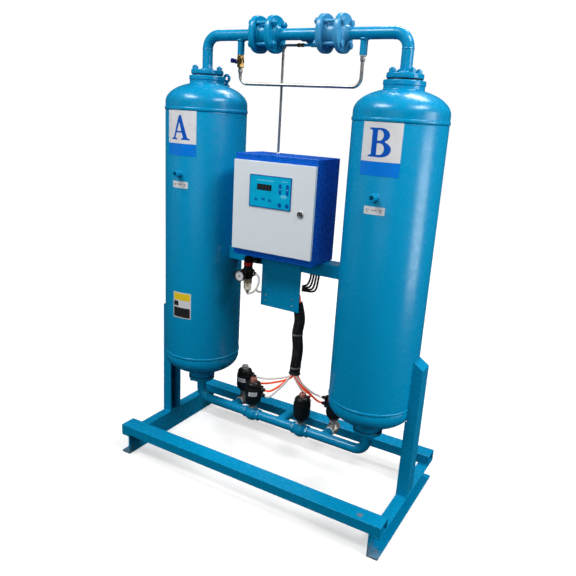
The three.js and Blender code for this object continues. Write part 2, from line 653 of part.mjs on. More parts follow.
function regulatorBody() {
  const { x, y, top } = REGULATOR;
  const port = top - 56;
  const beamFront = -BEAM.width / 2 - GAP;
  const neck = rod(at(x, y, top - REG.neck), at(x, y, top - REG.knob - GAP), REG.radius - 2, 16);
  const barrel = rod(at(x, y, top - REG.body), at(x, y, top - REG.neck + 1), REG.radius, 16);
  const block = box(at(x - 20, y - 13, port - 12), at(x + 20, y + 13, port + 12));
  const sideFitting = rod(at(x + 18, y, port), at(x + 31, y, port), 5.5, 6);
  const gaugeStem = rod(at(x, y, port - 2), at(x, GAUGE.y + 17, GAUGE.z), 5.5, 10);
  const arm = box(at(x + 8, y - 2, top - 34), at(PLATE.left - 6, y + 2, top - 21));
  const foot = box(at(PLATE.left - 22, y - 2, top - 34), at(PLATE.left - 6, beamFront, top - 4));
  return join(neck, barrel, block, sideFitting, gaugeStem, arm, foot);
}

function gaugeCase() {
  const { radius, depth } = GAUGE;
  const lip = radius - 2.5;
  return turned([[0, -depth], [radius, -depth], [radius, 0], [lip, 0], [lip, -4], [0, -4]], 24);
}

// The needle rests at zero, which is at the dial's lower left.
const ZERO_ANGLE = 135;
function gaugeNeedle() {
  const pointer = extruded([[-1.6, -5], [1.6, -5], [0.5, 13.5], [-0.5, 13.5]], 0.8);
  const hub = rod(at(0, 0, -3.6), at(0, 0, -1.2), 2.4, 12);
  return join(pointer.translate(0, 0, -2.4), hub).rotateZ(THREE.MathUtils.degToRad(ZERO_ANGLE));
}

function filterBowl() {
  const rim = REGULATOR.top - REG.body - GAP;
  const base = REGULATOR.top - REG.bowl;
  return turned([
    [0, base - 8], [3, base - 8], [3, base], [11, base + 6], [13.5, base + 24], [13.5, rim],
    [11.5, rim], [11.5, base + 25], [9, base + 9], [0, base + 6],
  ], 14);
}

const air = new THREE.Group();
dryer.add(air);
piece("regulator_body", regulatorBody(), BLACK, air);
const regulatorAxis = new THREE.Group();
regulatorAxis.position.set(REGULATOR.x, REGULATOR.y, 0);
air.add(regulatorAxis);
const knobShape = rod(at(0, 0, REGULATOR.top - REG.knob), at(0, 0, REGULATOR.top), 14.5, 18);
piece("regulator_knob", knobShape, BLACK, regulatorAxis);
piece("filter_bowl", filterBowl(), CLEAR, regulatorAxis);
const gauge = new THREE.Group();
gauge.position.set(GAUGE.x, GAUGE.y, GAUGE.z);
gauge.rotation.x = Math.PI / 2; // the dial faces -Y
air.add(gauge);
piece("gauge_case", gaugeCase(), BLACK, gauge);
piece("gauge_needle", gaugeNeedle(), BLACK, gauge);

// Pilot valves: a manifold block with a row of solenoids on the back of the plate.
const BANK = { left: -64, right: 62, low: 640, high: 712, coils: 4, pitch: 30 };
function pilotBank() {
  const front = PLATE_Y + GAP;
  const coils = Array.from({ length: BANK.coils }, (_, i) => {
    const x = BANK.left + 18 + BANK.pitch * i;
    return box(at(x - 11, front + 3, BANK.low + 15), at(x + 11, front + 32, BANK.high));
  });
  return join(box(at(BANK.left, front, BANK.low), at(BANK.right, front + 28, BANK.low + 28)), ...coils);
}
piece("pilot_valve_bank", pilotBank(), STAINLESS, air);

// ---- hoses and cables ----------------------------------------------------------------------------
const HOSE_RADIUS = 3; // the small pneumatic tubes and the cables

// Each actuator has two tubes from the sheath: straight down out of it, then across to its fitting.
function fanTube(start, end, outward) {
  const drop = start.clone().add(at(0, 0, -16));
  const approach = end.clone().addScaledVector(outward, 14);
  const middle = drop.clone().lerp(approach, 0.6).add(at(0, 0, -10));
  return swept(new THREE.CatmullRomCurve3([start, drop, middle, approach, end]), HOSE_RADIUS, 6, 8);
}

// where each actuator's low and high tubes leave the sheath, from its middle, in station order
const STARTS = [
  [[-11, -7], [-11, 0]],
  [[-3, 9], [4, 9]],
  [[-3, -10], [-11, 7]],
  [[11, 4], [11, -4]],
];

function tubeHarness() {
  const { y: depth, radius, low, high } = HARNESS;
  const route = [[58, depth, high], [68, depth, 560], [69, depth, 500], [66, depth, 440], [65, depth, low]];
  const tubes = stations.flatMap(([, x, y, , , ports], i) => {
    const angle = THREE.MathUtils.degToRad(ports);
    const outward = at(Math.cos(angle), Math.sin(angle), 0);
    return [FITTING.low, FITTING.high].map((z, k) => {
      const end = at(x, y, z).addScaledVector(outward, FITTING.reach + 1);
      const start = at(65 + STARTS[i][k][0], depth + STARTS[i][k][1], low + 8);
      return fanTube(start, end, outward);
    });
  });
  return join(swept(smooth(route), radius, 7, 10), ...tubes);
}
piece("tube_harness", tubeHarness(), TUBE_RED, air);

// From the regulator's side fitting round to the bowl's drain, with a branch to the pilot valves.
function regulatorHose() {
  const { x, y, top } = REGULATOR;
  const loop = [
    [x + 33.2, y, top - 56], [x + 40, y, top - 61], [x + 44, y, top - 78], [x + 38, y, top - 100],
    [x + 24, y, top - 120], [x + 6, y, top - REG.drain - 6],
  ];
  const branch = [
    [x + 34, y, top - 106], [PLATE.left - 9, y + 8, top - 117],
    [PLATE.left - 4, -27, BANK.low + 14], [BANK.left - 2.5, -18, BANK.low + 14],
  ];
  return join(swept(smooth(loop), HOSE_RADIUS, 12, 8), swept(smooth(branch), HOSE_RADIUS, 5, 8));
}
piece("regulator_hose", regulatorHose(), CLEAR, air);

// Four cables from the box's underside down to the pilot valves.
function valveCables() {
  const high = BEAM.top - BEAM.height - GAP;
  const gland = box(at(96, -22, high - 6), at(139, -8, high));
  const cables = [0, 1, 2, 3].map((i) => {
    const x = 103 + 9.5 * i;
    const low = 700 - 5 * i;
    const route = [[x, -15, high - 3], [x - 2, -15, 731], [x - 12, -15, low + 8], [BANK.right + 12, -15, low]];
    return swept(smooth(route), HOSE_RADIUS, 6, 8);
  });
  return join(gland, ...cables);
}
piece("valve_cables", valveCables(), BLACK_RUBBER, air);

export default dryer;
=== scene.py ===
"""Looks of a twin-tower adsorption air dryer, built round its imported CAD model.

Shapes are made in millimetres in the row frame: +Z up, +X from tower A to tower B, and the control
box's door facing -Y. They become metres when a piece is finished.
"""
import json
import math

import bmesh
import bpy
from mathutils import Matrix, Vector
from mathutils.geometry import tessellate_polygon


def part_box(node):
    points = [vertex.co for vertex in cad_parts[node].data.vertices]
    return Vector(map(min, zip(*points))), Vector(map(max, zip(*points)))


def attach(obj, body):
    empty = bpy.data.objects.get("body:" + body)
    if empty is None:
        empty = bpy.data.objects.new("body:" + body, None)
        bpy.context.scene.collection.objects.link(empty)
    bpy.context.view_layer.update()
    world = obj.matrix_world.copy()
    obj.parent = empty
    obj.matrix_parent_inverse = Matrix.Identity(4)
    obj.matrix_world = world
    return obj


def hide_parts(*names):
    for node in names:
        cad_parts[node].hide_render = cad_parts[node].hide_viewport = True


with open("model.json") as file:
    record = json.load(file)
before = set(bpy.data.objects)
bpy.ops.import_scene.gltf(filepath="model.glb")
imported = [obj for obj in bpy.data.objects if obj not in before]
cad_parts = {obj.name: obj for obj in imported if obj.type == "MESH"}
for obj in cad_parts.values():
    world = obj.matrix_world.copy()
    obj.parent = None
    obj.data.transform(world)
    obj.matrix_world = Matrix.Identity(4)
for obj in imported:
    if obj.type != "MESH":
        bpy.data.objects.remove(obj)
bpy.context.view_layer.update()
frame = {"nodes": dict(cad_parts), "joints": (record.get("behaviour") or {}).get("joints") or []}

MM = 0.001
X, Y, Z = Vector((1, 0, 0)), Vector((0, 1, 0)), Vector((0, 0, 1))
SIDES = {"a": -1, "b": 1}


# ---- measuring the frame ---------------------------------------------------------------------
def span(node):
    """A CAD node's lowest and highest corner, in millimetres."""
    low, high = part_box(node)
    return low / MM, high / MM


def centre(node):
    low, high = span(node)
    return (low + high) / 2


# ---- paths and outlines ----------------------------------------------------------------------
def along(origin, axis=Z):
    """A placing matrix whose local Z points along the axis, from the origin."""
    turn = Vector(axis).to_track_quat("Z", "Y").to_matrix().to_4x4()
    return Matrix.Translation(Vector(origin)) @ turn


def upright(x, y=0):
    """A placing matrix that stands on the ground at a point."""
    return Matrix.Translation((x, y, 0))


def facing_front(origin):
    """A placing matrix for flat shapes: local X is right, local Y is up and local Z faces -Y."""
    return Matrix.Translation(Vector(origin)) @ Matrix.Rotation(math.pi / 2, 4, "X")


def arc(middle, radii, start, end, steps=8):
    """Points on an ellipse's arc, with its angles in degrees."""
    angles = [math.radians(start + (end - start) * i / steps) for i in range(steps + 1)]
    return [(middle[0] + radii[0] * math.cos(a), middle[1] + radii[1] * math.sin(a)) for a in angles]


def rectangle(low, high, corner=0.0):
    (left, bottom), (right, top) = low, high
    if not corner:
        return [(left, bottom), (right, bottom), (right, top), (left, top)]
    left, bottom, right, top = left + corner, bottom + corner, right - corner, top - corner
    middles = ((right, bottom), (right, top), (left, top), (left, bottom))
    return [point for i, middle in enumerate(middles)
            for point in arc(middle, (corner, corner), 90 * i - 90, 90 * i, 4)]


def rounded(profile, radius, steps=3):
    """A profile with its corners rounded, where there is room for it."""
    made = [profile[0]]
    for before, corner, after in zip(profile, profile[1:], profile[2:]):
        here = Vector(corner)
        back, ahead = Vector(before) - here, Vector(after) - here
        reach = min(radius, 0.45 * back.length, 0.45 * ahead.length)
        start, end = here + back.normalized() * reach, here + ahead.normalized() * reach
        for i in range(steps + 1):
            t = i / steps
            made.append(tuple(start * (1 - t) ** 2 + here * 2 * t * (1 - t) + end * t * t))
    return made + [profile[-1]]


def bent(corners, bend, steps=12):
    """Points along straight runs that are joined by round bends of that centre-line radius."""
    corners = [Vector(c) for c in corners]
    points = [corners[0]]
    for before, corner, after in zip(corners, corners[1:], corners[2:]):
        back, ahead = (before - corner).normalized(), (after - corner).normalized()
        half = back.angle(ahead) / 2
        reach = bend / math.tan(half)
        hub = corner + (back + ahead).normalized() * bend / math.sin(half)
        start, end = corner + back * reach - hub, corner + ahead * reach - hub
        points += [hub + start.slerp(end, i / steps) * bend for i in range(steps + 1)]
    return points + [corners[-1]]


def smooth(points, steps=8):
    """A curve through the points, without the swings that uneven spacing gives."""
    points = [Vector(p) for p in points]
    ends = [points[0] * 2 - points[1], *points, points[-1] * 2 - points[-2]]
    made = []
    for p0, p1, p2, p3 in zip(ends, ends[1:], ends[2:], ends[3:]):
        d0, d1, d2 = ((b - a).length ** 0.5 for a, b in ((p0, p1), (p1, p2), (p2, p3)))
        m1 = (p1 - p0) / d0 - (p2 - p0) / (d0 + d1) + (p2 - p1) / d1
        m2 = (p2 - p1) / d1 - (p3 - p1) / (d1 + d2) + (p3 - p2) / d2
        for i in range(steps):
            t = i / steps
            made.append(
                p1 * (2 * t**3 - 3 * t**2 + 1)
                + m1 * d1 * (t**3 - 2 * t**2 + t)
                + p2 * (3 * t**2 - 2 * t**3)
                + m2 * d1 * (t**3 - t**2)
            )
    return made + [points[-1]]


def straight(start, end, steps):
    return [Vector(start).lerp(Vector(end), i / steps) for i in range(steps + 1)]


def turns(count, start=0.0):
    """Angles evenly round a circle."""
    return [start + 2 * math.pi * i / count for i in range(count)]


def polar(radius, turn):
    return radius * math.cos(turn), radius * math.sin(turn)


def on_pitch(radius):
    """Four points on a pitch circle, at 45 degrees to the axes."""
    return [polar(radius, math.pi * (0.25 + 0.5 * i)) for i in range(4)]


# ---- solids ----------------------------------------------------------------------------------
class Shape:
    """Closed solids, in millimetres, that together make one piece."""

    def __init__(self):
        self.mesh = bmesh.new()

    def _bridge(self, rings):
        """Faces between rings of vertices; a ring of one vertex is a point on the axis."""
        faces = []
        for low, high in rings:
            for i in range(max(len(low), len(high))):
                around = ((low, i), (low, i + 1), (high, i + 1), (high, i))
                corners = list(dict.fromkeys(ring[k % len(ring)] for ring, k in around))
                if len(corners) > 2:
                    faces.append(self.mesh.faces.new(corners))
        return faces

    def _ring(self, points):
        return [self.mesh.verts.new(p) for p in points]

    def turned(self, profile, place=Matrix(), sides=48, phase=0.0):
        """A solid of revolution about local Z from (radius, height) pairs, which start and end on the axis
        or close on themselves."""
        closed = profile[0] == profile[-1]
        rings = []
        for radius, height in profile[:-1] if closed else profile:
            angles = turns(sides, phase) if radius else [phase]
            rings.append(self._ring(place @ Vector((*polar(radius, a), height)) for a in angles))
        pairs = list(zip(rings, rings[1:] + rings[:1])) if closed else list(zip(rings, rings[1:]))
        bmesh.ops.recalc_face_normals(self.mesh, faces=self._bridge(pairs))
        return self

    def lathe(self, outer, round_by, place=Matrix(), sides=48, steps=3, phase=0.0):
        """A turned solid from its outer corners, which are rounded. Its ends close on the axis."""
        profile = [(0, outer[0][1]), *outer, (0, outer[-1][1])]
        if round_by:
            profile = rounded(profile, round_by, steps)
        return self.turned(profile, place, sides, phase)

    def tube(self, points, radius, sides=20, closed=False):
        """A round bar along points. radius is one number or one for each point."""
        points = [Vector(p) for p in points]
        count = len(points)
        radii = radius if isinstance(radius, list) else [radius] * count
        near = (lambda i: points[i % count]) if closed else (lambda i: points[max(0, min(count - 1, i))])
        runs = [(near(i + 1) - near(i - 1)).normalized() for i in range(count)]
        across = runs[0].orthogonal().normalized()
        rings = []
        for i, (point, run) in enumerate(zip(points, runs)):
            across = (across - run * across.dot(run)).normalized()
            other = run.cross(across)
            spokes = [across * math.cos(t) + other * math.sin(t) for t in turns(sides)]
            rings.append(self._ring(point + spoke * radii[i] for spoke in spokes))
        faces = self._bridge(zip(rings, rings[1:] + rings[:1]) if closed else zip(rings, rings[1:]))
        if not closed:
            faces += [self.mesh.faces.new(rings[0]), self.mesh.faces.new(rings[-1])]
        bmesh.ops.recalc_face_normals(self.mesh, faces=faces)
        return self

    def prism(self, outline, depth, place=Matrix(), round_by=0.0, segments=2):
        """A flat outline in local XY, extruded along local Z, with its edges rounded."""
        low = self._ring(place @ Vector((x, y, 0)) for x, y in outline)
        high = self._ring(place @ Vector((x, y, depth)) for x, y in outline)
        faces = self._bridge([(low, high)]) + [self.mesh.faces.new(low), self.mesh.faces.new(high)]
        bmesh.ops.recalc_face_normals(self.mesh, faces=faces)
        if round_by:
            edges = dict.fromkeys(e for f in faces for e in f.edges)
            sharp = [e for e in edges if e.calc_face_angle(0) > math.radians(30)]
            bmesh.ops.bevel(
                self.mesh, geom=sharp, offset=round_by, segments=segments, profile=0.5, affect="EDGES",
                clamp_overlap=True,
            )
        return self

    def block(self, low, high, round_by=0.8, segments=2):
        place = Matrix.Translation((0, 0, low[2]))
        return self.prism(rectangle(low[:2], high[:2]), high[2] - low[2], place, round_by, segments)

    def hexagon(self, origin, axis, across, height):
        """A chamfered nut or bolt head, across its flats."""
        corner = across / 2 / math.cos(math.pi / 6)
        face, cut = corner - across * 0.055, across * 0.0385
        profile = [(face, 0), (corner, cut), (corner, height - cut), (face, height)]
        return self.lathe(profile, 0, along(origin, axis), 6)

    def bolt(self, origin, axis, across, head, tip=0.0):
        """A hexagon head or nut on a washer, with the end of its thread standing out of it."""
        self.lathe([(across * 0.6, 0), (across * 0.6, 1.6)], 0.4, along(origin, axis), 24)
        base = Vector(origin) + axis * 1.5
        self.hexagon(base, axis, across, head)
        if tip:
            thread = across * 0.3
            profile = [(thread, 0), (thread, tip - 0.8), (thread - 0.8, tip)]
            self.lathe(profile, 0, along(base + axis * (head - 0.2), axis), 20)
        return self

    def weld(self, points, size, closed=False, sides=8):
        """A weld bead along points that lie close together, with its ripples."""
        ripples = [0.10 * math.sin(1.9 * i) + 0.05 * math.sin(0.37 * i) for i in range(len(points))]
        return self.tube(points, [size * (1 + ripple) for ripple in ripples], sides, closed)

    def ring_weld(self, origin, axis, radius, size):
        place = along(origin, axis)
        count = int(2 * math.pi * radius / 1.5)
        return self.weld([place @ Vector((*polar(radius, t), 0)) for t in turns(count)], size, True)

    def decal(self, outlines, place, thick=0.3, wrap=0.0, step=3.0):
        """A thin flat shape in local XY: an outline and its holes. With wrap, it lies round an upright
        cylinder of that radius whose axis is that far behind the place."""
        flat = bmesh.new()
        loops = [[Vector((x, y, 0)) for x, y in outline] for outline in outlines]
        corners = [flat.verts.new(p) for loop in loops for p in loop]
        for triangle in tessellate_polygon(loops):
            flat.faces.new([corners[i] for i in triangle])
        if wrap:
            reach = max(abs(x) for outline in outlines for x, _ in outline)
            for i in range(int(-reach / step), int(reach / step) + 1):
                everything = flat.verts[:] + flat.edges[:] + flat.faces[:]
                bmesh.ops.bisect_plane(flat, geom=everything, plane_co=(i * step, 0, 0), plane_no=(1, 0, 0))
        raised = bmesh.ops.extrude_face_region(flat, geom=flat.faces[:], use_keep_orig=True)["geom"]
        for vertex in (v for v in raised if isinstance(v, bmesh.types.BMVert)):
            vertex.co.z += thick
        for vertex in flat.verts:
            if wrap:
                turn, reach = vertex.co.x / wrap, wrap + vertex.co.z
                vertex.co = (reach * math.sin(turn), vertex.co.y, reach * math.cos(turn) - wrap)
            vertex.co = place @ vertex.co
        bmesh.ops.recalc_face_normals(flat, faces=flat.faces[:])
        carrier = bpy.data.meshes.new("carrier")
        flat.to_mesh(carrier)
        flat.free()
        self.mesh.from_mesh(carrier)
        bpy.data.meshes.remove(carrier)
        return self


def piece(name, shape, material, body="frame", replaces=()):
    """One finished mesh on its body, in the slot that its material belongs to."""
    bmesh.ops.scale(shape.mesh, vec=(MM, MM, MM), verts=shape.mesh.verts)
    mesh = bpy.data.meshes.new(name)
    shape.mesh.to_mesh(mesh)
    shape.mesh.free()
    mesh.shade_smooth()
    mesh.set_sharp_from_angle(angle=math.radians(35))
    mesh.materials.append(material)
    made = bpy.data.objects.new(name, mesh)
    bpy.context.scene.collection.objects.link(made)
    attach(made, body)
    if replaces:
        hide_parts(*replaces)
    return made


def dress(node, material, round_by=0.0):
    """A CAD node that stays: its own material, and its sharp edges rounded."""
    kept = frame["nodes"][node]
    kept.data.materials.clear()
    kept.data.materials.append(material)
    if round_by:
        joined = kept.modifiers.new("joined", "WELD")
        joined.merge_threshold = 0.02 * MM
        edges = kept.modifiers.new("edges", "BEVEL")
        edges.width = round_by * MM
        edges.segments = 3
        edges.limit_method = "ANGLE"
        edges.angle_limit = math.radians(30)


# ---- materials -------------------------------------------------------------------------------
class Finish:
    """One procedural material being put together, in metres in the row frame."""

    def __init__(self, name, slot, colour, roughness, metallic=0.0, **extra):
        self.material = bpy.data.materials.new(name)
        self.material["slot"] = slot
        self.material.use_nodes = True
        self.tree = self.material.node_tree
        self.shader = self.tree.nodes["Principled BSDF"]
        self.colour = (*colour, 1.0)
        self.shader.inputs["Base Color"].default_value = self.colour
        self.shader.inputs["Roughness"].default_value = roughness
        self.shader.inputs["Metallic"].default_value = metallic
        for socket, value in extra.items():
            self.shader.inputs[socket.replace("_", " ")].default_value = value
        self.coords = self.tree.nodes.new("ShaderNodeTexCoord").outputs["Object"]
        self.last_colour = None
        self.last_normal = None

    def noise(self, scale, detail=4.0, stretch=(1, 1, 1)):
        mapping = self.tree.nodes.new("ShaderNodeMapping")
        mapping.inputs["Scale"].default_value = stretch
        self.tree.links.new(self.coords, mapping.inputs["Vector"])
        noise = self.tree.nodes.new("ShaderNodeTexNoise")
        noise.inputs["Scale"].default_value = scale
        noise.inputs["Detail"].default_value = detail
        self.tree.links.new(mapping.outputs["Vector"], noise.inputs["Vector"])
        return noise.outputs["Fac"]

    def cells(self, scale, feature="F1"):
        cells = self.tree.nodes.new("ShaderNodeTexVoronoi")
        cells.feature = feature
        cells.inputs["Scale"].default_value = scale
        self.tree.links.new(self.coords, cells.inputs["Vector"])
        return cells.outputs["Distance"]

    def ranged(self, source, low, high, to_low, to_high):
        ranged = self.tree.nodes.new("ShaderNodeMapRange")
        for socket, value in (("From Min", low), ("From Max", high), ("To Min", to_low), ("To Max", to_high)):
            ranged.inputs[socket].default_value = value
        self.tree.links.new(source, ranged.inputs["Value"])
        return ranged.outputs["Result"]

    def tint(self, source, other, low=0.35, high=0.65, most=1.0):
        """Where the source is high, the colour turns to the other one."""
        mix = self.tree.nodes.new("ShaderNodeMix")
        mix.data_type = "RGBA"
        self.tree.links.new(self.ranged(source, low, high, 0.0, most), mix.inputs["Factor"])
        a_socket, b_socket, result = mix.inputs[6], mix.inputs[7], mix.outputs[2]
        a_socket.default_value = self.colour
        b_socket.default_value = (*other, 1.0)
        if self.last_colour:
            self.tree.links.new(self.last_colour, a_socket)
        self.tree.links.new(result, self.shader.inputs["Base Color"])
        self.last_colour = result
        return self

    def worn(self, source, low, high):
        self.tree.links.new(self.ranged(source, 0.3, 0.7, low, high), self.shader.inputs["Roughness"])
        return self

    def bump(self, source, depth, strength=1.0):
        """Height in metres that the source adds to the surface."""
        bump = self.tree.nodes.new("ShaderNodeBump")
        bump.inputs["Distance"].default_value = depth
        bump.inputs["Strength"].default_value = strength
        self.tree.links.new(source, bump.inputs["Height"])
        if self.last_normal:
            self.tree.links.new(self.last_normal, bump.inputs["Normal"])
        self.last_normal = bump.outputs["Normal"]
        self.tree.links.new(self.last_normal, self.shader.inputs["Normal"])
        return self


def enamel(name, slot, colour, shade, roughness):
    """Sprayed enamel: a slow drift of colour, orange peel, and a little dust in the gloss."""
    made = Finish(name, slot, colour, roughness, Specular_IOR_Level=0.45)
    made.tint(made.noise(3.5, 3), shade, 0.35, 0.7)
    made.worn(made.noise(55, 5), roughness - 0.04, roughness + 0.08)
    made.bump(made.noise(120, 1), 0.0001, 0.1)
    made.bump(made.noise(9, 2), 0.001, 0.15)
    return made.material


def scuffs_and_sheen(name, slot, colour, roughness, spots):
    """Enamel that is worn through to grey steel round some spots, given as a place and its reach in mm. The
    spot on the cross beam's top is no wear but a painted reflection, greyed the same way.
    """
    made = Finish(name, slot, colour, roughness, Specular_IOR_Level=0.45)
    made.tint(made.noise(3.5, 3), tuple(c * 0.94 for c in colour), 0.35, 0.7)
    for place, reach in spots:
        distance = made.tree.nodes.new("ShaderNodeVectorMath")
        distance.operation = "DISTANCE"
        distance.inputs[1].default_value = Vector(place) * MM
        made.tree.links.new(made.coords, distance.inputs[0])
        wear_or_sheen = made.tree.nodes.new("ShaderNodeMath")
        wear_or_sheen.operation = "MULTIPLY"
        nearness = made.ranged(distance.outputs["Value"], 0.0, reach * MM, 1.0, 0.0)
        made.tree.links.new(nearness, wear_or_sheen.inputs[0])
        made.tree.links.new(made.noise(70, 5), wear_or_sheen.inputs[1])
        # grey where worn through; at the cross beam's spot this grey is a painted reflection
        made.tint(wear_or_sheen.outputs["Value"], (0.17, 0.19, 0.20), 0.17, 0.34, 0.7)
    made.worn(made.noise(55, 5), roughness - 0.04, roughness + 0.08)
    made.bump(made.noise(120, 1), 0.0001, 0.1)
    return made.material


def powder(name, slot, colour, shade, roughness, grain=900):
    made = Finish(name, slot, colour, roughness, Specular_IOR_Level=0.25)
    made.tint(made.noise(5, 3), shade, 0.35, 0.7)
    made.worn(made.noise(90, 4), roughness - 0.05, roughness + 0.1)
    made.bump(made.noise(grain, 2), 0.00012, 0.5)
    return made.material


def steel(name, slot, colour, shade, roughness, stretch=(1, 1, 12)):
    made = Finish(name, slot, colour, roughness, 1.0)
    made.tint(made.noise(60, 5), shade, 0.35, 0.75)
    made.worn(made.noise(300, 5, stretch), roughness - 0.08, roughness + 0.12)
    made.bump(made.noise(900, 3, stretch), 0.00004, 0.5)
    return made.material


def cast(name, slot, colour, shade):
    made = Finish(name, slot, colour, 0.42, 0.9)
    made.tint(made.noise(120, 5), shade, 0.3, 0.7)
    made.worn(made.noise(220, 4), 0.34, 0.56)
    made.bump(made.noise(700, 3), 0.0002, 0.5)
    return made.material


def moulded(name, slot, colour, shade, roughness, grain=1400, depth=0.00008):
    made = Finish(name, slot, colour, roughness, Specular_IOR_Level=0.25)
    made.tint(made.noise(40, 4), shade, 0.35, 0.7)
    made.worn(made.noise(120, 4), roughness - 0.08, roughness + 0.1)
    made.bump(made.noise(grain, 2), depth, 0.6)
    return made.material


def print_film(name, slot, colour, roughness=0.35):
    """Printed vinyl or membrane film, slightly uneven where it was laid."""
    made = Finish(name, slot, colour, roughness, Specular_IOR_Level=0.25)
    made.tint(made.noise(30, 3), tuple(c * 0.9 for c in colour), 0.4, 0.7)
    made.worn(made.noise(160, 3), roughness - 0.05, roughness + 0.1)
    made.bump(made.noise(45, 2), 0.0002, 0.3)
    return made.material


def clear(name, slot, colour, roughness, share=1.0, glow=0.0):
    """Clear or milky plastic. The glow is painted light, standing for the light that it gathers and lets out
    again.
    """
    made = Finish(name, slot, colour, roughness, Transmission_Weight=share, IOR=1.49, Emission_Strength=glow)
    made.shader.inputs["Emission Color"].default_value = (*colour, 1.0)
    made.worn(made.noise(150, 4), roughness, roughness + 0.16)
    made.bump(made.noise(90, 2), 0.0003, 0.3)
    return made.material


def beads(name, slot):
    made = Finish(name, slot, (0.78, 0.74, 0.66), 0.8)
    # painted shade: darker towards each bead's edge and in the gaps between the beads
    made.tint(made.cells(260), (0.55, 0.5, 0.42), 0.25, 0.6)
    made.bump(made.cells(260), -0.002, 1.0)
    return made.material


def circuit(name, slot):
    made = Finish(name, slot, (0.02, 0.16, 0.06), 0.35)
    made.tint(made.cells(420, "DISTANCE_TO_EDGE"), (0.35, 0.3, 0.1), 0.03, 0.0)
    made.bump(made.noise(500, 2), 0.00005, 0.4)
    return made.material


BLUE = enamel("blue_enamel", "blue_enamel", (0.0, 0.262, 0.505), (0.0, 0.245, 0.48), 0.25)
SCUFFED_AND_SHEEN_BLUE = scuffs_and_sheen("scuffed_and_sheen_enamel", "blue_enamel", (0.0, 0.262, 0.505), 0.25, [
    ((span("side_rail_left")[0].x + 20, span("side_rail_left")[0].y, 0), 55),
    ((span("side_rail_right")[1].x - 25, span("side_rail_right")[0].y, 0), 75),
    ((span("front_bar")[1].x - 76, centre("front_bar").y - 6, span("front_bar")[1].z), 19),
    # painted reflection on the cross beam's top, right of the box
    ((span("box_body")[1].x + 34, centre("cross_beam").y, span("cross_beam")[1].z), 42),
])
# a paler, slightly rougher copy of the blue, used only on tower B's flange pair and check valve
PALE_BLUE = enamel("pale_blue_enamel", "blue_enamel", (0.05, 0.30, 0.55), (0.03, 0.26, 0.5), 0.3)
ROYAL = powder("royal_blue", "royal_blue_powder", (0.004, 0.11, 0.58), (0.003, 0.10, 0.54), 0.26)
HANDLE_BLUE = moulded("handle_blue", "royal_blue_powder", (0.01, 0.03, 0.24), (0.01, 0.02, 0.17), 0.32)
GREY = powder("door_grey", "grey_powder", (0.75, 0.815, 0.865), (0.73, 0.795, 0.85), 0.38, 700)
TEAL = print_film("keypad_teal", "keypad_film", (0.0, 0.42, 0.70))
KEY_BLUE = print_film("keypad_dark_blue", "keypad_film", (0.0, 0.09, 0.38))
KEY_PALE = print_film("keypad_pale", "keypad_film", (0.12, 0.55, 0.78))
WINDOW = Finish("display_window", "keypad_film", (0.012, 0.014, 0.017), 0.12)
WINDOW = WINDOW.worn(WINDOW.noise(80, 3), 0.08, 0.2).material
DIGIT = print_film("display_digit", "keypad_film", (0.045, 0.05, 0.055), 0.3)
WHITE = print_film("white_vinyl", "dial", (0.72, 0.73, 0.76), 0.4)
LETTER_BLUE = print_film("letter_blue", "keypad_film", (0.0, 0.09, 0.50), 0.35)
PANEL_BLUE = print_film("panel_blue", "keypad_film", (0.0, 0.19, 0.74), 0.35)
YELLOW = print_film("yellow_vinyl", "dial", (0.8, 0.6, 0.02), 0.4)
GREY_INK = print_film("grey_ink", "dial", (0.28, 0.29, 0.32), 0.4)
INK = print_film("black_vinyl", "dial", (0.02, 0.02, 0.022), 0.4)
TAPE = moulded("thread_tape", "dial", (0.8, 0.8, 0.78), (0.68, 0.68, 0.66), 0.6, 600, 0.0004)
BLACK = moulded("black_nylon", "black_plastic", (0.006, 0.007, 0.007), (0.011, 0.012, 0.012), 0.34)
# the ties are grey, not black, as a painted highlight along them
TIE_SHEEN_GREY = moulded("tie_nylon_sheen", "black_plastic", (0.22, 0.22, 0.21), (0.17, 0.17, 0.165), 0.3)
RED = moulded("red_plastic", "nylon_tube", (0.55, 0.02, 0.02), (0.42, 0.015, 0.015), 0.35)
RUBBER = moulded(
    "black_rubber", "black_rubber", (0.012, 0.012, 0.012), (0.025, 0.025, 0.025), 0.6, 500, 0.0003,
)
STEEL = steel("drawn_steel", "bright_steel", (0.66, 0.64, 0.60), (0.56, 0.54, 0.50), 0.42, (1, 1, 1))
CHROME = steel("chrome", "bright_steel", (0.85, 0.85, 0.85), (0.78, 0.78, 0.78), 0.36, (1, 1, 1))
CAST = cast("cast_stainless", "cast_stainless", (0.62, 0.58, 0.53), (0.42, 0.39, 0.35))
BRASS = steel("brass", "brass", (0.62, 0.40, 0.14), (0.5, 0.31, 0.1), 0.3, (1, 1, 1))
BEADS = beads("desiccant_beads", "desiccant")
BOWL = clear("bowl_plastic", "clear_plastic", (0.80, 0.77, 0.70), 0.08, 0.85)
CAP = clear("indicator_cap", "clear_plastic", (0.50, 0.48, 0.47), 0.15, 0.4)
RED_CAP = clear("red_indicator_cap", "clear_plastic", (0.42, 0.16, 0.13), 0.15, 0.4)
BEIGE = moulded("beige_collar", "clear_plastic", (0.42, 0.36, 0.25), (0.34, 0.28, 0.19), 0.35)
# these tubes glow with painted light, which brightens their shaded undersides
CLEAR_TUBE = clear("clear_tube", "nylon_tube", (0.74, 0.73, 0.70), 0.22, 0.1, 0.22)
RED_TUBE = clear("red_tube", "nylon_tube", (1.0, 0.10, 0.025), 0.2, 0.0, 0.3)
BOARD = circuit("circuit_board", "circuit_board")


# ---- frame -----------------------------------------------------------------------------------
def bare_frame():
    for node in ("rear_bar", "post_left", "post_right"):
        dress(node, BLUE, 1.6)
    for node in ("side_rail_left", "side_rail_right", "front_bar"):
        dress(node, SCUFFED_AND_SHEEN_BLUE, 1.6)
    dress("cross_beam", SCUFFED_AND_SHEEN_BLUE, 1.2)
    dress("valve_plate", BLUE, 0.8)


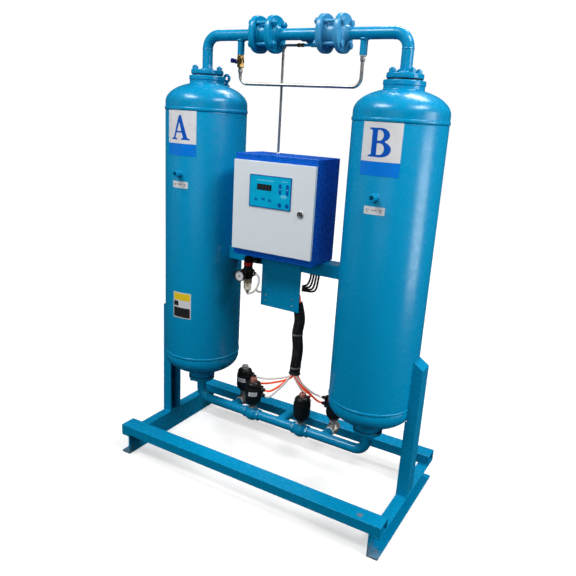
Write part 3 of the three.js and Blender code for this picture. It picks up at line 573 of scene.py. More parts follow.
def frame_welds():
    """Fillet welds where the bars cross the rails and the posts stand on them."""
    made = Shape()
    rail_top = span("side_rail_left")[1].z
    for rail in ("side_rail_left", "side_rail_right"):
        low, high = span(rail)
        for bar in ("front_bar", "rear_bar"):
            near, far = span(bar)
            inside = near.y if bar == "rear_bar" else far.y
            made.weld(straight((low.x + 3, inside, rail_top), (high.x - 3, inside, rail_top), 22), 2.4)
    for post in ("post_left", "post_right"):
        low, high = span(post)
        for y in (low.y, high.y):
            made.weld(straight((low.x + 3, y, rail_top), (high.x - 3, y, rail_top), 22), 2.4)
        outer = low.x if low.x < 0 else high.x
        made.weld(straight((outer, low.y + 3, rail_top), (outer, high.y - 3, rail_top), 40), 2.2)
    return piece("frame_welds", made, BLUE)


def post_welds(letter, side):
    """The bead between each tower and its post, up both of the post's edges."""
    made = Shape()
    low, high = span("post_left" if side < 0 else "post_right")
    radius = TOWER_RADIUS + 0.8
    lowest = LOW_SEAM + 12
    for y in (low.y, high.y):
        x = TOWER_X[letter] + side * math.sqrt(radius**2 - y**2)
        made.weld(straight((x, y, lowest), (x, y, high.z - 8), 80), 2.0)
    return piece(f"post_weld_{letter}", made, BLUE)


def plate_screws():
    """Screws through the plate into the pilot valves behind it."""
    low, high = span("valve_plate")
    made = Shape()
    for x in (low.x + 20, high.x - 26):
        for z in (low.z + 18, low.z + 39):
            head = [(3.2, 0), (3.0, 1.0), (2.3, 1.8), (1.4, 2.0), (1.4, 0.9)]
            made.lathe(head, 0, along((x, low.y - 0.1, z), -Y), 20)
    return piece("plate_screws", made, CHROME)


# ---- towers ----------------------------------------------------------------------------------
VESSEL_LOW, VESSEL_HIGH = span("vessel_a")
TOWER_RADIUS = (VESSEL_HIGH.x - VESSEL_LOW.x) / 2
RIM = VESSEL_HIGH.z
FOOT = VESSEL_LOW.z
HIGH_SEAM = RIM - 108
LOW_SEAM = FOOT + 114
# a dished head's straight skirt and the height of its crown
SKIRT, CROWN = 20, 68
NECK_RADIUS = 59.5
PORT_Z = 1030
TOWER_X = {letter: centre(f"desiccant_bed_{letter}").x for letter in SIDES}
PRINT_THICK = 0.4


def dish(seam, upward, start_radius):
    """Outside of a dished head, from its neck out to its skirt."""
    steps = 18
    first = math.asin(start_radius / TOWER_RADIUS)
    angles = [first + (math.pi / 2 - first) * i / steps for i in range(steps + 1)]
    return [(TOWER_RADIUS * math.sin(a), seam + upward * CROWN * math.cos(a)) for a in angles]


def seam_bead(seam, proud, half):
    """A head's edge, standing proud of the shell as a rounded band, with a crease beside it."""
    band = [(TOWER_RADIUS + proud * math.cos(a), seam + half * math.sin(a))
            for a in (math.radians(-90 + 18 * i) for i in range(11))]
    crease = [(TOWER_RADIUS, seam - half - 3), (TOWER_RADIUS - 0.9, seam - half - 1)]
    return crease + band


def tower_shell(letter):
    """A pressure vessel's outside from its foot to its rim, in one turned profile."""
    x = TOWER_X[letter]
    neck = rounded([
        (NECK_RADIUS + 9, HIGH_SEAM + SKIRT + CROWN - 9), (NECK_RADIUS - 1.5, RIM - 27),
        (NECK_RADIUS - 2, RIM - 14), (NECK_RADIUS, RIM - 13.5), (NECK_RADIUS, RIM), (0, RIM),
    ], 4, 5)
    profile = rounded([(0, FOOT), (46, FOOT), (48, FOOT + 8), (59, FOOT + 33)], 3)
    profile += dish(LOW_SEAM - SKIRT, -1, 62)
    profile += seam_bead(LOW_SEAM, 2.0, 4.5)
    profile += seam_bead(HIGH_SEAM, 2.4, 5.5)
    profile += dish(HIGH_SEAM + SKIRT, 1, NECK_RADIUS + 12)[::-1]
    profile += neck
    made = Shape().turned(profile, upright(x), 144)
    # the shell's own long seam, at the back
    seam = straight((x, TOWER_RADIUS, LOW_SEAM + 10), (x, TOWER_RADIUS, HIGH_SEAM - 10), 420)
    made.weld(seam, 1.7, sides=6)
    return piece(f"tower_{letter}_shell", made, BLUE, replaces=[f"vessel_{letter}"])


def tower_port(letter):
    """The gauge port: a small socket on a weld, pointing forward."""
    x = TOWER_X[letter]
    front = -TOWER_RADIUS
    reach = front - VESSEL_LOW.y
    socket = [(9.4, -5), (9.4, reach - 9), (10.2, reach - 8), (10.2, reach), (6.2, reach), (5.2, reach - 14)]
    made = Shape().lathe(socket, 0.8, along((x, front, PORT_Z), -Y), 40)
    made.ring_weld((x, front - 0.6, PORT_Z), Y, 10.2, 2.2)
    return piece(f"tower_{letter}_port", made, BLUE)


def lifting_eye(letter):
    """A forged ring on a short foot, welded to the shoulder."""
    low, high = span(f"lifting_eye_{letter}")
    x, y = (low.x + high.x) / 2, (low.y + high.y) / 2
    top = high.z - 15
    ring = [(x + across, y, top + up) for across, up in (polar(10.2, t) for t in turns(48))]
    made = Shape().tube(ring, 4.9, 16, closed=True)
    made.lathe([(9.5, 0), (7, 8), (5, 18)], 2, along((x, y, low.z), Z), 24)
    made.ring_weld((x, y, low.z + 4), Z, 9.5, 2.2)
    return piece(f"lifting_eye_{letter}_ring", made, BLUE, replaces=[f"lifting_eye_{letter}"])


LETTERS = {
    "a": [
        [(43, 100), (55, 100), (86, 9), (98, 5), (98, 0), (56, 0), (56, 5), (66, 9), (59, 29), (31, 29),
         (24, 9), (34, 5), (34, 0), (2, 0), (2, 5), (14, 9)],
        [(34, 36), (56.5, 36), (45.5, 72)],
    ],
    "b": [
        [(4, 100), (50, 100), *arc((50, 76), (32, 24), 90, -62, 10),
         *arc((52, 27), (38, 27), 62, -90, 12), (4, 0), (4, 5), (16, 9), (16, 91), (4, 95)],
        [(37, 93), (46, 93), *arc((46, 75), (14, 18), 84, -84, 8), (37, 57)],
        [(37, 48), (48, 48), *arc((48, 28), (17, 20), 84, -84, 8), (37, 8)],
    ],
}


def on_tower(made, letter, outlines, raised=0.0, thick=PRINT_THICK):
    """Adds a print that lies round a tower's front, with its heights from the floor."""
    radius = TOWER_RADIUS + raised
    return made.decal(outlines, facing_front((TOWER_X[letter], -radius, 0)), thick, radius)


def tower_label(letter):
    """The tower's letter on a pale plate, with a blue panel under it, and the small tag under the port."""
    half, foot, low, high = 58, 1088, 1126, 1229
    plate = on_tower(Shape(), letter, [rectangle((-half, low), (half, high))])
    piece(f"tower_{letter}_label_plate", plate, WHITE)
    panel = on_tower(Shape(), letter, [rectangle((-half, foot), (half, low - 0.3))])
    piece(f"tower_{letter}_label_panel", panel, PANEL_BLUE)
    size = 0.76
    left, base = -50 * size, low + 12
    outlines = [[(left + x * size, base + y * size) for x, y in outline] for outline in LETTERS[letter]]
    raised = on_tower(Shape(), letter, outlines, PRINT_THICK, 0.2)
    piece(f"tower_{letter}_letter", raised, LETTER_BLUE)
    tag = on_tower(Shape(), letter, [rectangle((-31, 983), (31, 1005), 1.5)])
    piece(f"tower_{letter}_port_tag", tag, WHITE)
    marks = Shape()
    for x, z, width in ((-25, 995, 11), (-25, 989.5, 8), (-9, 994, 17), (14, 995, 10), (16, 989.5, 6)):
        on_tower(marks, letter, [rectangle((x, z), (x + width, z + 2.6), 0.6)], PRINT_THICK, 0.15)
    return piece(f"tower_{letter}_port_tag_marks", marks, GREY_INK)


def tower_sticker():
    """A plain rating sticker in colour blocks on tower A, without words or signs."""
    left, right, low, high = -26, 47, 531, 624
    edge = 3
    base = on_tower(Shape(), "a", [rectangle((left, low), (right, high))])
    piece("sticker_base", base, WHITE)
    left, right = left + edge, right - edge
    band = rectangle((left, high - 28), (right, high - edge))
    piece("sticker_yellow", on_tower(Shape(), "a", [band], PRINT_THICK, 0.15), YELLOW)
    table = rectangle((left, low + edge), (right, low + 38))
    corner = rectangle((left, high - 50), (left + 21, high - 32))
    black = on_tower(Shape(), "a", [table], PRINT_THICK, 0.15)
    on_tower(black, "a", [corner], PRINT_THICK, 0.15)
    return piece("sticker_black", black, INK)


def tower_gaskets(letter):
    low, high = span(f"top_gasket_{letter}")
    x = (low.x + high.x) / 2
    radius = (high.x - low.x) / 2
    ring = rounded([(30, low.z), (radius, low.z), (radius, high.z), (30, high.z)], 0.8)
    made = Shape().turned([*ring, ring[0]], upright(x), 64)
    foot = FOOT - 0.3
    made.lathe([(48.5, foot), (48.5, foot + 0.6)], 0.2, upright(x), 64)
    return piece(f"neck_gaskets_{letter}", made, RUBBER, replaces=[f"top_gasket_{letter}"])


# ---- top pipework ----------------------------------------------------------------------------
PIPE_RADIUS = 16.85
PIPE_BEND = 41
TOP_Z = centre("check_valve_body_a").z
COVER_LOW = RIM + 4.3
COVER_THICK = 14
FLANGE_RADIUS, FLANGE_THICK, FLANGE_PITCH = 57.5, 16, 42.5
CHECK_LOW, CHECK_HIGH = span("check_valve_body_b")
# the small branches for the purge line, and the middle line of the inlet and outlet
BRANCH_X, BRANCH_END = 211, 1409
PORT_X = 8
PURGE_Z = centre("purge_valve_handle").z
PILOT_Y, PILOT_Z = 12, 1438
FLANGE_BLUES = {"a": BLUE, "b": PALE_BLUE}


def lobed(radius, lobe):
    """A cast flange's outline, which swells at its four bolts."""
    return [polar(radius - lobe * (1 + math.cos(4 * t)) / 2, t) for t in turns(96)]


def pipe_flange(made, x, outward):
    """A cast pipe flange with a hub on its pipe's side, which is outward along X."""
    half = FLANGE_THICK / 2
    place = along((x, 0, TOP_Z), X * outward)
    made.prism(lobed(FLANGE_RADIUS, 3.2), FLANGE_THICK, place @ Matrix.Translation((0, 0, -half)), 3.0, 3)
    hub = [(31, half - 1), (29, half + 2), (23, half + 4), (19, half + 13)]
    made.lathe(hub, 3.2, place, 56, steps=4)
    made.ring_weld((x + outward * (half + 13), 0, TOP_Z), X, 17.6, 2.0)


def top_pipe(letter, side):
    tower = TOWER_X[letter]
    cover_top = COVER_LOW + COVER_THICK
    outer_flange = CHECK_HIGH.x + 0.3 + FLANGE_THICK / 2
    made = Shape()
    corners = [(tower, 0, COVER_LOW), (tower, 0, TOP_Z), (side * outer_flange, 0, TOP_Z)]
    made.tube(bent(corners, PIPE_BEND, 16), PIPE_RADIUS, 40)
    made.prism(lobed(53.5, 3), COVER_THICK, Matrix.Translation((tower, 0, COVER_LOW)), 2.2, 3)
    collar = [(26, cover_top - 1), (24, cover_top), (20, cover_top + 3)]
    made.lathe(collar, 1, upright(tower), 48)
    made.ring_weld((tower, 0, cover_top + 3), Z, 17.8, 2.6)
    for a, b in on_pitch(40):
        made.bolt((tower + a, b, cover_top), Z, 18, 9.5, 3.4)
    bend_end = tower - side * PIPE_BEND
    made.ring_weld((bend_end, 0, TOP_Z), X, 16.4, 1.6)
    made.ring_weld((tower, 0, TOP_Z - PIPE_BEND), Z, 16.4, 1.6)
    made.tube([(side * BRANCH_X, 0, TOP_Z), (side * BRANCH_X, 0, BRANCH_END)], 11, 32)
    made.ring_weld((side * BRANCH_X, 0, TOP_Z - PIPE_RADIUS + 1.6), Z, 11.6, 3.0)
    return piece(f"top_pipe_{letter}_assembly", made, BLUE, replaces=[f"top_pipe_{letter}"])


def clamped_flanges(letter, side):
    """The two flanges that clamp a check valve, with their through bolts and nuts."""
    made = Shape()
    outer, inner = CHECK_HIGH.x + 0.3 + FLANGE_THICK / 2, CHECK_LOW.x - 0.3 - FLANGE_THICK / 2
    pipe_flange(made, side * outer, side)
    pipe_flange(made, side * inner, -side)
    for y, z in on_pitch(FLANGE_PITCH):
        made.bolt((side * (outer + FLANGE_THICK / 2), y, TOP_Z + z), X * side, 18, 7)
        made.bolt((side * (inner - FLANGE_THICK / 2), y, TOP_Z + z), X * -side, 18, 9, 4)
        made.tube([(side * CHECK_LOW.x, y, TOP_Z + z), (side * CHECK_HIGH.x, y, TOP_Z + z)], 5.2, 16)
    return piece(f"clamped_flanges_{letter}", made, FLANGE_BLUES[letter])


def check_body(letter):
    """A wafer check valve, with raised rims against its flanges."""
    low, high = span(f"check_valve_body_{letter}")
    length = high.x - low.x
    wafer = [(37, 0), (37, 7), (32, 10), (32, length - 10), (37, length - 7), (37, length)]
    made = Shape().lathe(wafer, 2.5, along((low.x, 0, TOP_Z), X), 64, steps=4)
    flange_blue = FLANGE_BLUES[letter]
    return piece(f"check_valve_{letter}_wafer", made, flange_blue, replaces=[f"check_valve_body_{letter}"])


def outlet_pipe():
    """The middle pipe and the outlet branch behind it."""
    low, high = span("outlet_pipe")
    made = Shape()
    made.tube([(low.x + 4, 0, TOP_Z), (high.x - 4, 0, TOP_Z)], PIPE_RADIUS, 40)
    rear_branch(made, TOP_Z, high.y, 2.4)
    return piece("outlet_pipe_assembly", made, BLUE, replaces=["outlet_pipe"])


def rear_branch(made, z, end, bead):
    """A pipe to the rear with its weld, and the threaded socket that is its mouth."""
    made.tube([(PORT_X, 0, z), (PORT_X, end - 10, z)], PIPE_RADIUS, 40)
    made.ring_weld((PORT_X, PIPE_RADIUS - 1.5, z), Y, 16.6, bead)
    length, outer, bore, depth = 32, 21, 14.5, 24
    profile = rounded([
        (16.5, -length), (outer, -length), (outer, 0), (bore + 1.5, 0), (bore, -2), (bore, -depth),
        (16.5, -length),
    ], 1.0)
    profile[-1] = profile[0]
    place = along((PORT_X, end, z), Y)
    made.turned(profile, place, 48)
    made.lathe([(bore + 1, -depth - 2), (bore + 1, -depth + 2)], 0, place, 32)


# ---- purge line and pilot tube ---------------------------------------------------------------
def purge_valve():
    low, high = span("purge_valve_body")
    x, z = (low.x + high.x) / 2, PURGE_Z
    made = Shape()
    made.hexagon((x, 0, low.z), Z, 21, 11)
    made.hexagon((x, 0, high.z - 11), Z, 21, 9)
    made.lathe([(9.6, low.z), (11.2, z - 8), (11.2, z + 6), (9.6, high.z)], 2, upright(x), 40, steps=4)
    made.lathe([(6.5, 0), (6.5, 12), (5, 13)], 0, along((x, 0, z), -X), 24)
    return piece("purge_valve", made, BRASS, replaces=["purge_valve_body"])


def purge_handle():
    """The T handle: a waisted bar on a hub."""
    low, high = span("purge_valve_handle")
    reach = (high.y - low.y) / 2
    bar = (arc((reach - 6, 0), (6, 7.5), -90, 90, 8) + [(0, 5.5)]
           + arc((-reach + 6, 0), (6, 7.5), 90, 270, 8) + [(0, -5.5)])
    sideways = Matrix(((0, 0, -1, 0), (1, 0, 0, 0), (0, -1, 0, 0), (0, 0, 0, 1)))
    made = Shape().prism(bar, 7.5, Matrix.Translation((low.x + 7.5, 0, PURGE_Z)) @ sideways, 1.8, 3)
    made.lathe([(6.5, 0), (5.5, 9)], 1.2, along((high.x, 0, PURGE_Z), -X), 28)
    return piece("purge_handle_bar", made, HANDLE_BLUE, "purge_handle", ["purge_valve_handle"])


def purge_tube():
    bottom = span("purge_tube")[0].z + 5
    left = centre("purge_valve_body").x
    valve_low = span("purge_valve_body")[0].z
    corners = [(left, 0, valve_low - 4), (left, 0, bottom), (-left, 0, bottom), (-left, 0, BRANCH_END - 4)]
    made = Shape().tube(bent(corners, 26, 14), 5, 24)
    for x, top in ((left, valve_low), (-left, BRANCH_END)):
        made.hexagon((x, 0, top - 13), Z, 15, 8)
        made.lathe([(5.8, top - 18.5), (7, top - 13)], 0.8, upright(x), 28)
        made.lathe([(6.6, top - 5), (6.6, top - 0.4)], 0.6, upright(x), 28)
    return piece("purge_tube_assembly", made, STEEL, replaces=["purge_tube"])


def pilot_tube():
    """The thin tube from the box's top, with its brass fitting and the blue stub on the pipe."""
    low = span("pilot_air_tube")[0]
    x, y, z = low.x + 4, PILOT_Y, PILOT_Z
    corners = [(x, y, low.z), (x, y, z), (-2, y, z)]
    made = Shape().tube(bent(corners, 14, 12), 4, 20)
    grommet = [(8, 0), (7, 2.4), (4.4, 3)]
    made.lathe(grommet, 0.8, along((x, y, low.z), Z), 28)
    piece("pilot_tube_steel", made, STEEL, replaces=["pilot_air_tube"])
    fitting = Shape().hexagon((-11, y, z), X, 11, 9).hexagon((3, y, z), X, 11, 7)
    fitting.lathe([(4.8, -11), (4.8, 11)], 0, along((0, y, z), X), 24)
    piece("pilot_tube_fitting", fitting, BRASS)
    stub = Shape().tube([(9, y, z), (40, y, z)], 4.2, 20)
    stub.lathe([(6.4, 0), (6.4, 16)], 1, along((36, y, z), X), 28)
    stub.tube([(47, y, z), (47, y * 0.55, z + 14)], 5, 20)
    return piece("pilot_tube_stub", stub, BLUE)


def tape_rings():
    """Thread tape that shows at the screwed joints."""
    made = Shape()
    for x in (-BRANCH_X, BRANCH_X):
        ring = [(8.6, BRANCH_END - 4), (9.4, BRANCH_END - 1), (8.6, BRANCH_END + 1)]
        made.lathe(ring, 0.8, upright(x), 36)
    for station in ("exhaust_valve_a", "exhaust_valve_b"):
        low = span(f"{station}_body")[0]
        x = STATION[station][0]
        ring = [(15.4, -7), (16.6, -4), (16.4, -1), (14.8, 0)]
        made.lathe(ring, 0.9, along((x, low.y + 1.5, LOW_Z), Y), 40)
    return piece("thread_tape_rings", made, TAPE)


# ---- bottom manifold -------------------------------------------------------------------------
LOW_Z = centre("inlet_pipe").z
# the side on which each piston valve's two air tubes enter, and where its stem stands
PORT_SIDE = {"inlet_valve_a": X, "inlet_valve_b": Y, "exhaust_valve_a": X, "exhaust_valve_b": -X}
STATION = {name: tuple(centre(f"{name}_stem").xy) for name in PORT_SIDE}


def manifold(letter, side):
    tower = TOWER_X[letter]
    rim = FOOT - 0.3
    under = rim - COVER_THICK
    low, high = span(f"manifold_{letter}")
    end = high.x if side < 0 else low.x
    made = Shape()
    corners = [(tower, 0, rim - 4), (tower, 0, LOW_Z), (end, 0, LOW_Z)]
    made.tube(bent(corners, PIPE_BEND, 16), PIPE_RADIUS, 40)
    flange = [(20, under - 5), (26, under - 1), (44, under), (48, under + 3), (48, rim)]
    made.lathe(flange, 2.0, upright(tower), 64, steps=4)
    made.ring_weld((tower, 0, under - 4), Z, 17.6, 2.4)
    for a, b in on_pitch(36.5):
        made.bolt((tower + a, b, under), -Z, 15, 7)
    made.ring_weld((tower - side * PIPE_BEND, 0, LOW_Z), X, 16.4, 1.6)
    branch_x = STATION[f"exhaust_valve_{letter}"][0]
    valve_low = span(f"exhaust_valve_{letter}_body")[0]
    made.tube([(branch_x, 0, LOW_Z), (branch_x, valve_low.y - 1, LOW_Z)], PIPE_RADIUS - 2, 36)
    made.ring_weld((branch_x, PIPE_RADIUS - 2.0, LOW_Z), Y, PIPE_RADIUS - 1.6, 2.6)
    return piece(f"manifold_{letter}_assembly", made, BLUE, replaces=[f"manifold_{letter}"])


def inlet_pipe():
    low, high = span("inlet_pipe")
    made = Shape()
    made.tube([(low.x, 0, LOW_Z), (high.x, 0, LOW_Z)], PIPE_RADIUS, 40)
    rear_branch(made, LOW_Z, high.y, 2.6)
    return piece("inlet_pipe_assembly", made, BLUE, replaces=["inlet_pipe"])


def valve_body(name):
    """A piston valve's body: a bulged barrel with octagon ends and a neck up to the actuator's collar."""
    x, y = STATION[name]
    low, high = span(f"{name}_body")
    crossing = y > 1
    axis = Y if crossing else X
    half = (high.y - low.y) / 2 if crossing else (high.x - low.x) / 2
    scale = half / 33
    middle = Vector((x, y, LOW_Z))
    bulge = [(17, 1), (18, 0.62), (23.5, 0.4), (25.5, 0.1)]
    barrel = [(radius * scale, -share * half) for radius, share in bulge]
    barrel += [(radius * scale, share * half) for radius, share in reversed(bulge)]
    made = Shape().lathe(barrel, 7 * scale, along(middle, axis), 48, steps=5)
    for end in (-1, 1):
        place = along(middle + axis * end * half * 0.66, axis * end)
        octagon = [(21 * scale, 0), (21 * scale, half * 0.33)]
        made.lathe(octagon, 1.6, place, 8, phase=math.pi / 8)
    neck = [(23 * scale, 0), (20 * scale, 15), (16.5 * scale, 22), (16.5 * scale, high.z - 10 - LOW_Z)]
    made.lathe(neck, 3, along(middle, Z), 40, steps=4)
    material = CAST if crossing else BLUE
    return piece(f"{name}_casting", made, material, replaces=[f"{name}_body"])


def valve_collar(name):
    """The steel collar nut between a valve's body and its actuator."""
    x, y = STATION[name]
    high = span(f"{name}_body")[1]
    made = Shape().hexagon((x, y, high.z - 15), Z, 30, 9)
    ring = [(15, 0), (15, 3), (14, 3.4), (14, 12), (15.5, 12.4), (15.5, 18.6)]
    made.lathe(ring, 0.8, along((x, y, high.z - 18), Z), 40)
    return piece(f"{name}_collar", made, CAST)


# the two tube fittings of each actuator
FITTING_Z = (259, 281)


def actuator(name):
    """The hollow black housing: rounded shoulders, a parting step, a port block and two tube fittings."""
    x, y = STATION[name]
    base = span(f"{name}_actuator")[0].z
    outside = rounded([
        (10.5, 0), (15, 0), (16.5, 3), (22.6, 7), (28, 14), (30, 23), (30, 67), (28.4, 69), (28.2, 71),
        (27.6, 79), (25.2, 84.5), (20.5, 88.5), (15.5, 91), (8, 91),
    ], 2.4, 4)
    inside = [(8, 86), (19, 84), (23.6, 78), (23.6, 16), (21, 12), (10.5, 12)]
    made = Shape().turned([*outside, *inside, outside[0]], Matrix.Translation((x, y, base)), 64)
    side = PORT_SIDE[name]
    across = Z.cross(side)
    turn = Matrix((side, across, Z)).transposed().to_4x4()
    block = Matrix.Translation((x, y, base + 37)) @ turn
    made.prism(rectangle((25, -9.5), (38, 9.5), 2), 42, block, 1.4)
    for a, b in on_pitch(20.5):
        screw = [(3.6, 0), (3.6, 8.6), (2.0, 9.4), (2.0, 7.4)]
        made.lathe(screw, 0.6, along((x + a, y + b, base + 80), Z), 20)
    piece(f"{name}_housing", made, BLACK, replaces=[f"{name}_actuator"])
    fittings = Shape()
    collars = Shape()
    for z in FITTING_Z:
        start = Vector((x, y, z)) + side * 37
        fittings.lathe([(6.6, 0), (6.6, 9), (5.2, 12), (5.2, 14), (3.4, 15)], 0.8, along(start, side), 24)
        collars.hexagon(start - side * 0.5, side, 12.5, 4.5)
    piece(f"{name}_tube_fittings", fittings, BLACK)
    return piece(f"{name}_fitting_nuts", collars, CAST)


def indicator(name):
    """The clear cap on top of the housing, with the fixed ring that frames the position button."""
    x, y = STATION[name]
    high = span(f"{name}_actuator")[1]
    foot = high.z - 13.4
    shell = rounded([
        (12.6, foot), (13.4, foot), (13.4, foot + 3.4), (12.2, foot + 4.4), (12, high.z - 2.4), (9.4, high.z),
        (0, high.z), (0, high.z - 1.4), (9, high.z - 1.4), (11, high.z - 3), (11, foot), (12.6, foot),
    ], 0.6)
    made = Shape().turned([*shell[:-1], shell[0]], upright(x, y), 36)
    grey = name == "exhaust_valve_a"
    piece(f"{name}_cap", made, CAP if grey else RED_CAP)
    ring = [(5.8, foot), (10.4, foot), (10.4, foot + 8), (5.8, foot + 8), (5.8, foot)]
    frame_ring = Shape().turned(ring, upright(x, y), 32)
    return piece(f"{name}_indicator_ring", frame_ring, CAST if grey else RED)


def valve_stem(name, body):
    """Plug, rod, piston and position button, which move together."""
    x, y = STATION[name]
    low, high = span(f"{name}_stem")
    piston = span(f"{name}_actuator")[0].z + 23.7
    plug = [(8.5, low.z), (8.5, low.z + 14), (4, low.z + 16)]
    disc = [(4, piston), (22, piston), (22, piston + 9), (4, piston + 9)]
    button = [(4, high.z - 10), (5, high.z - 9), (5, high.z)]
    made = Shape().lathe([*plug, *disc, *button], 0.8, upright(x, y), 40)
    return piece(f"{name}_stem_turned", made, STEEL, body, [f"{name}_stem"])


def actuator_label(name, turn):
    """A small white label wrapped round the housing, turned that many degrees from the front."""
    x, y = STATION[name]
    radius = 30.05
    place = facing_front((x, y - radius, 0))
    about = Matrix.Rotation(math.radians(turn), 4, "Z")
    turned = upright(x, y) @ about @ upright(-x, -y)
    plate = Shape().decal([rectangle((-16.5, 255.5), (16.5, 271), 1)], turned @ place, 0.3, radius, 2)
    piece(f"{name}_label", plate, WHITE)
    raised = turned @ facing_front((x, y - radius - 0.3, 0))
    bars = Shape()
    for left, right, z in ((-12, -3, 264.5), (0, 9, 264.5), (-10, 5, 259.5)):
        bars.decal([rectangle((left, z), (right, z + 1.8))], raised, 0.12, radius + 0.3, 2)
    return piece(f"{name}_label_bars", bars, INK)


# ---- control box -----------------------------------------------------------------------------
def control_box():
    dress("box_body", ROYAL, 2.0)
    dress("box_door", GREY, 1.3)
    low, high = span("box_body")
    door_low, door_high = span("box_door")
    hinge = next(Vector(j["pos_m"]) / MM for j in frame["joints"] if j["name"] == "door_hinge")
    knuckles = Shape()
    for z in (door_low.z + 38, door_high.z - 70):
        knuckles.lathe([(3.1, 0), (3.1, 32)], 0.7, along((hinge.x, hinge.y, z), Z), 20)
    piece("door_hinges", knuckles, STEEL)
    feet = Shape()
    for x in (low.x + 24, high.x - 24):
        feet.block((x - 12, high.y - 0.5, low.z + 8), (x + 12, high.y + 2.5, high.z - 8), 0.8)
    return piece("box_back_straps", feet, ROYAL)


def keypad():
    """The membrane film: a dark edge, a teal field, the display window and the printed keys."""
    low, high = span("keypad_panel")
    front, back = low.y, high.y

    def on_face(raise_by):
        return facing_front((0, front - raise_by, 0))

    outline = rectangle((low.x, low.z), (high.x, high.z), 1.5)
    film = Shape().decal([outline], facing_front((0, back, 0)), back - front)
    piece("keypad_film_edge", film, KEY_BLUE, "door", ["keypad_panel"])
    edge = 3
    field = rectangle((low.x + edge, low.z + edge), (high.x - edge, high.z - edge), 1)
    piece("keypad_field", Shape().decal([field], on_face(0), 0.25), TEAL, "door")
    window = rectangle((-52, 1009), (0, 1027), 1)
    piece("keypad_window", Shape().decal([window], on_face(0.25), 0.5), WINDOW, "door")
    digits = Shape()
    bars = ((0, 0, 5.5, 1.2), (0, 5.4, 5.5, 6.6), (0, 10.8, 5.5, 12), (-0.6, 0.8, 0.7, 11.2),
            (4.8, 0.8, 6.1, 11.2))
    for i in range(4):
        x, z = -46.5 + 11.5 * i, 1012
        for left, foot, right, top in bars:
            digits.decal([rectangle((x + left, z + foot), (x + right, z + top))], on_face(0.75), 0.1)
    piece("keypad_digits", digits, DIGIT, "door")
    dark = Shape()
    for x in (30.5, 56):
        dark.decal([rectangle((x - 4.6, 1001), (x + 4.6, 1033), 4.4)], on_face(0.25), 0.35)
    for x, z in ((31, 969), (57, 969)):
        dark.decal([arc((x, z), (6.5, 6.5), 0, 345, 23)], on_face(0.25), 0.35)
    for x, z in ((-54, 981), (-28, 984), (-5, 981)):
        dark.decal([[(x - 6, z - 6), (x - 2, z - 6), (x, z + 1), (x - 4, z + 4)]], on_face(0.25), 0.3)
        dark.decal([[(x + 1, z - 6), (x + 6, z - 6), (x + 4, z + 4), (x + 1, z)]], on_face(0.25), 0.3)
    piece("keypad_keys", dark, KEY_BLUE, "door")
    pale = Shape()
    pale.decal([arc((44, 996), (11, 5.5), 0, 348, 29)], on_face(0.25), 0.3)
    pale.decal([rectangle((-54, 1037), (6, 1040.5), 1)], on_face(0.25), 0.15)
    pale.decal([rectangle((34, 1039), (56, 1042), 1)], on_face(0.25), 0.15)
    for x in (30.5, 56):
        pale.decal([arc((x, 1017), (2.4, 2.4), 0, 330, 11)], on_face(0.6), 0.12)
    return piece("keypad_pale_prints", pale, KEY_PALE, "door")


def lock():
    """The quarter-turn lock: a domed chrome head with its key slot, the barrel and the cam."""
    low, high = span("door_lock")
    x = (low.x + high.x) / 2
    z = next(Vector(j["pos_m"]) / MM for j in frame["joints"] if j["name"] == "lock_turn").z
    front = low.y
    head = [(6.4, 0.9), (7.2, 0), (10.4, 0.6), (11, 2.4), (11, 4)]
    made = Shape().lathe(head, 0.8, along((x, front, z), Y), 48, steps=4)
    made.lathe([(7.9, 3), (7.9, high.y - front - 2)], 0, along((x, front, z), Y), 32)
    made.block((x - 6, high.y - 4, low.z), (x + 6, high.y - 1, z + 6), 0.8)
    made.hexagon((x, high.y - 1.2, z), Y, 11, 1.2)
    piece("lock_assembly", made, CHROME, "lock", ["door_lock"])
    face = facing_front((0, front + 0.95, 0))
    slot = Shape().decal([rectangle((x - 0.9, z - 3.6), (x + 0.9, z + 3.6), 0.8)], face, 0.2)
    slot.decal([arc((x, z), (2.2, 2.2), 0, 330, 11)], face, 0.15)
    return piece("lock_keyhole", slot, INK, "lock")


def controller():
    """Parts on the board behind the keypad: terminals and capacitors."""
    dress("controller_board", BOARD)
    low, high = span("controller_board")
    made = Shape()
    face = high.y - 4.2
    for i in range(11):
        x = low.x + 14 + 10.4 * i
        made.block((x, face, low.z + 5), (x + 9, high.y + 3, low.z + 14), 0.5)
    piece("controller_terminals", made, BLACK, "door")
    cans = Shape()
    for x, radius in ((low.x + 24, 5), (low.x + 38, 4), (low.x + 50, 4)):
        can = [(radius, 0), (radius, 9)]
        cans.lathe(can, 0.8, along((x, face - 1, high.z - 22), Y), 24)
    return piece("controller_capacitors", cans, STEEL, "door")


# ---- air preparation -------------------------------------------------------------------------
REG_HIGH = span("regulator_body")[1]
REG_X, REG_Y = centre("regulator_knob").x, centre("regulator_knob").y
KNOB_LOW, KNOB_HIGH = span("regulator_knob")
BOWL_LOW, BOWL_HIGH = span("filter_bowl")


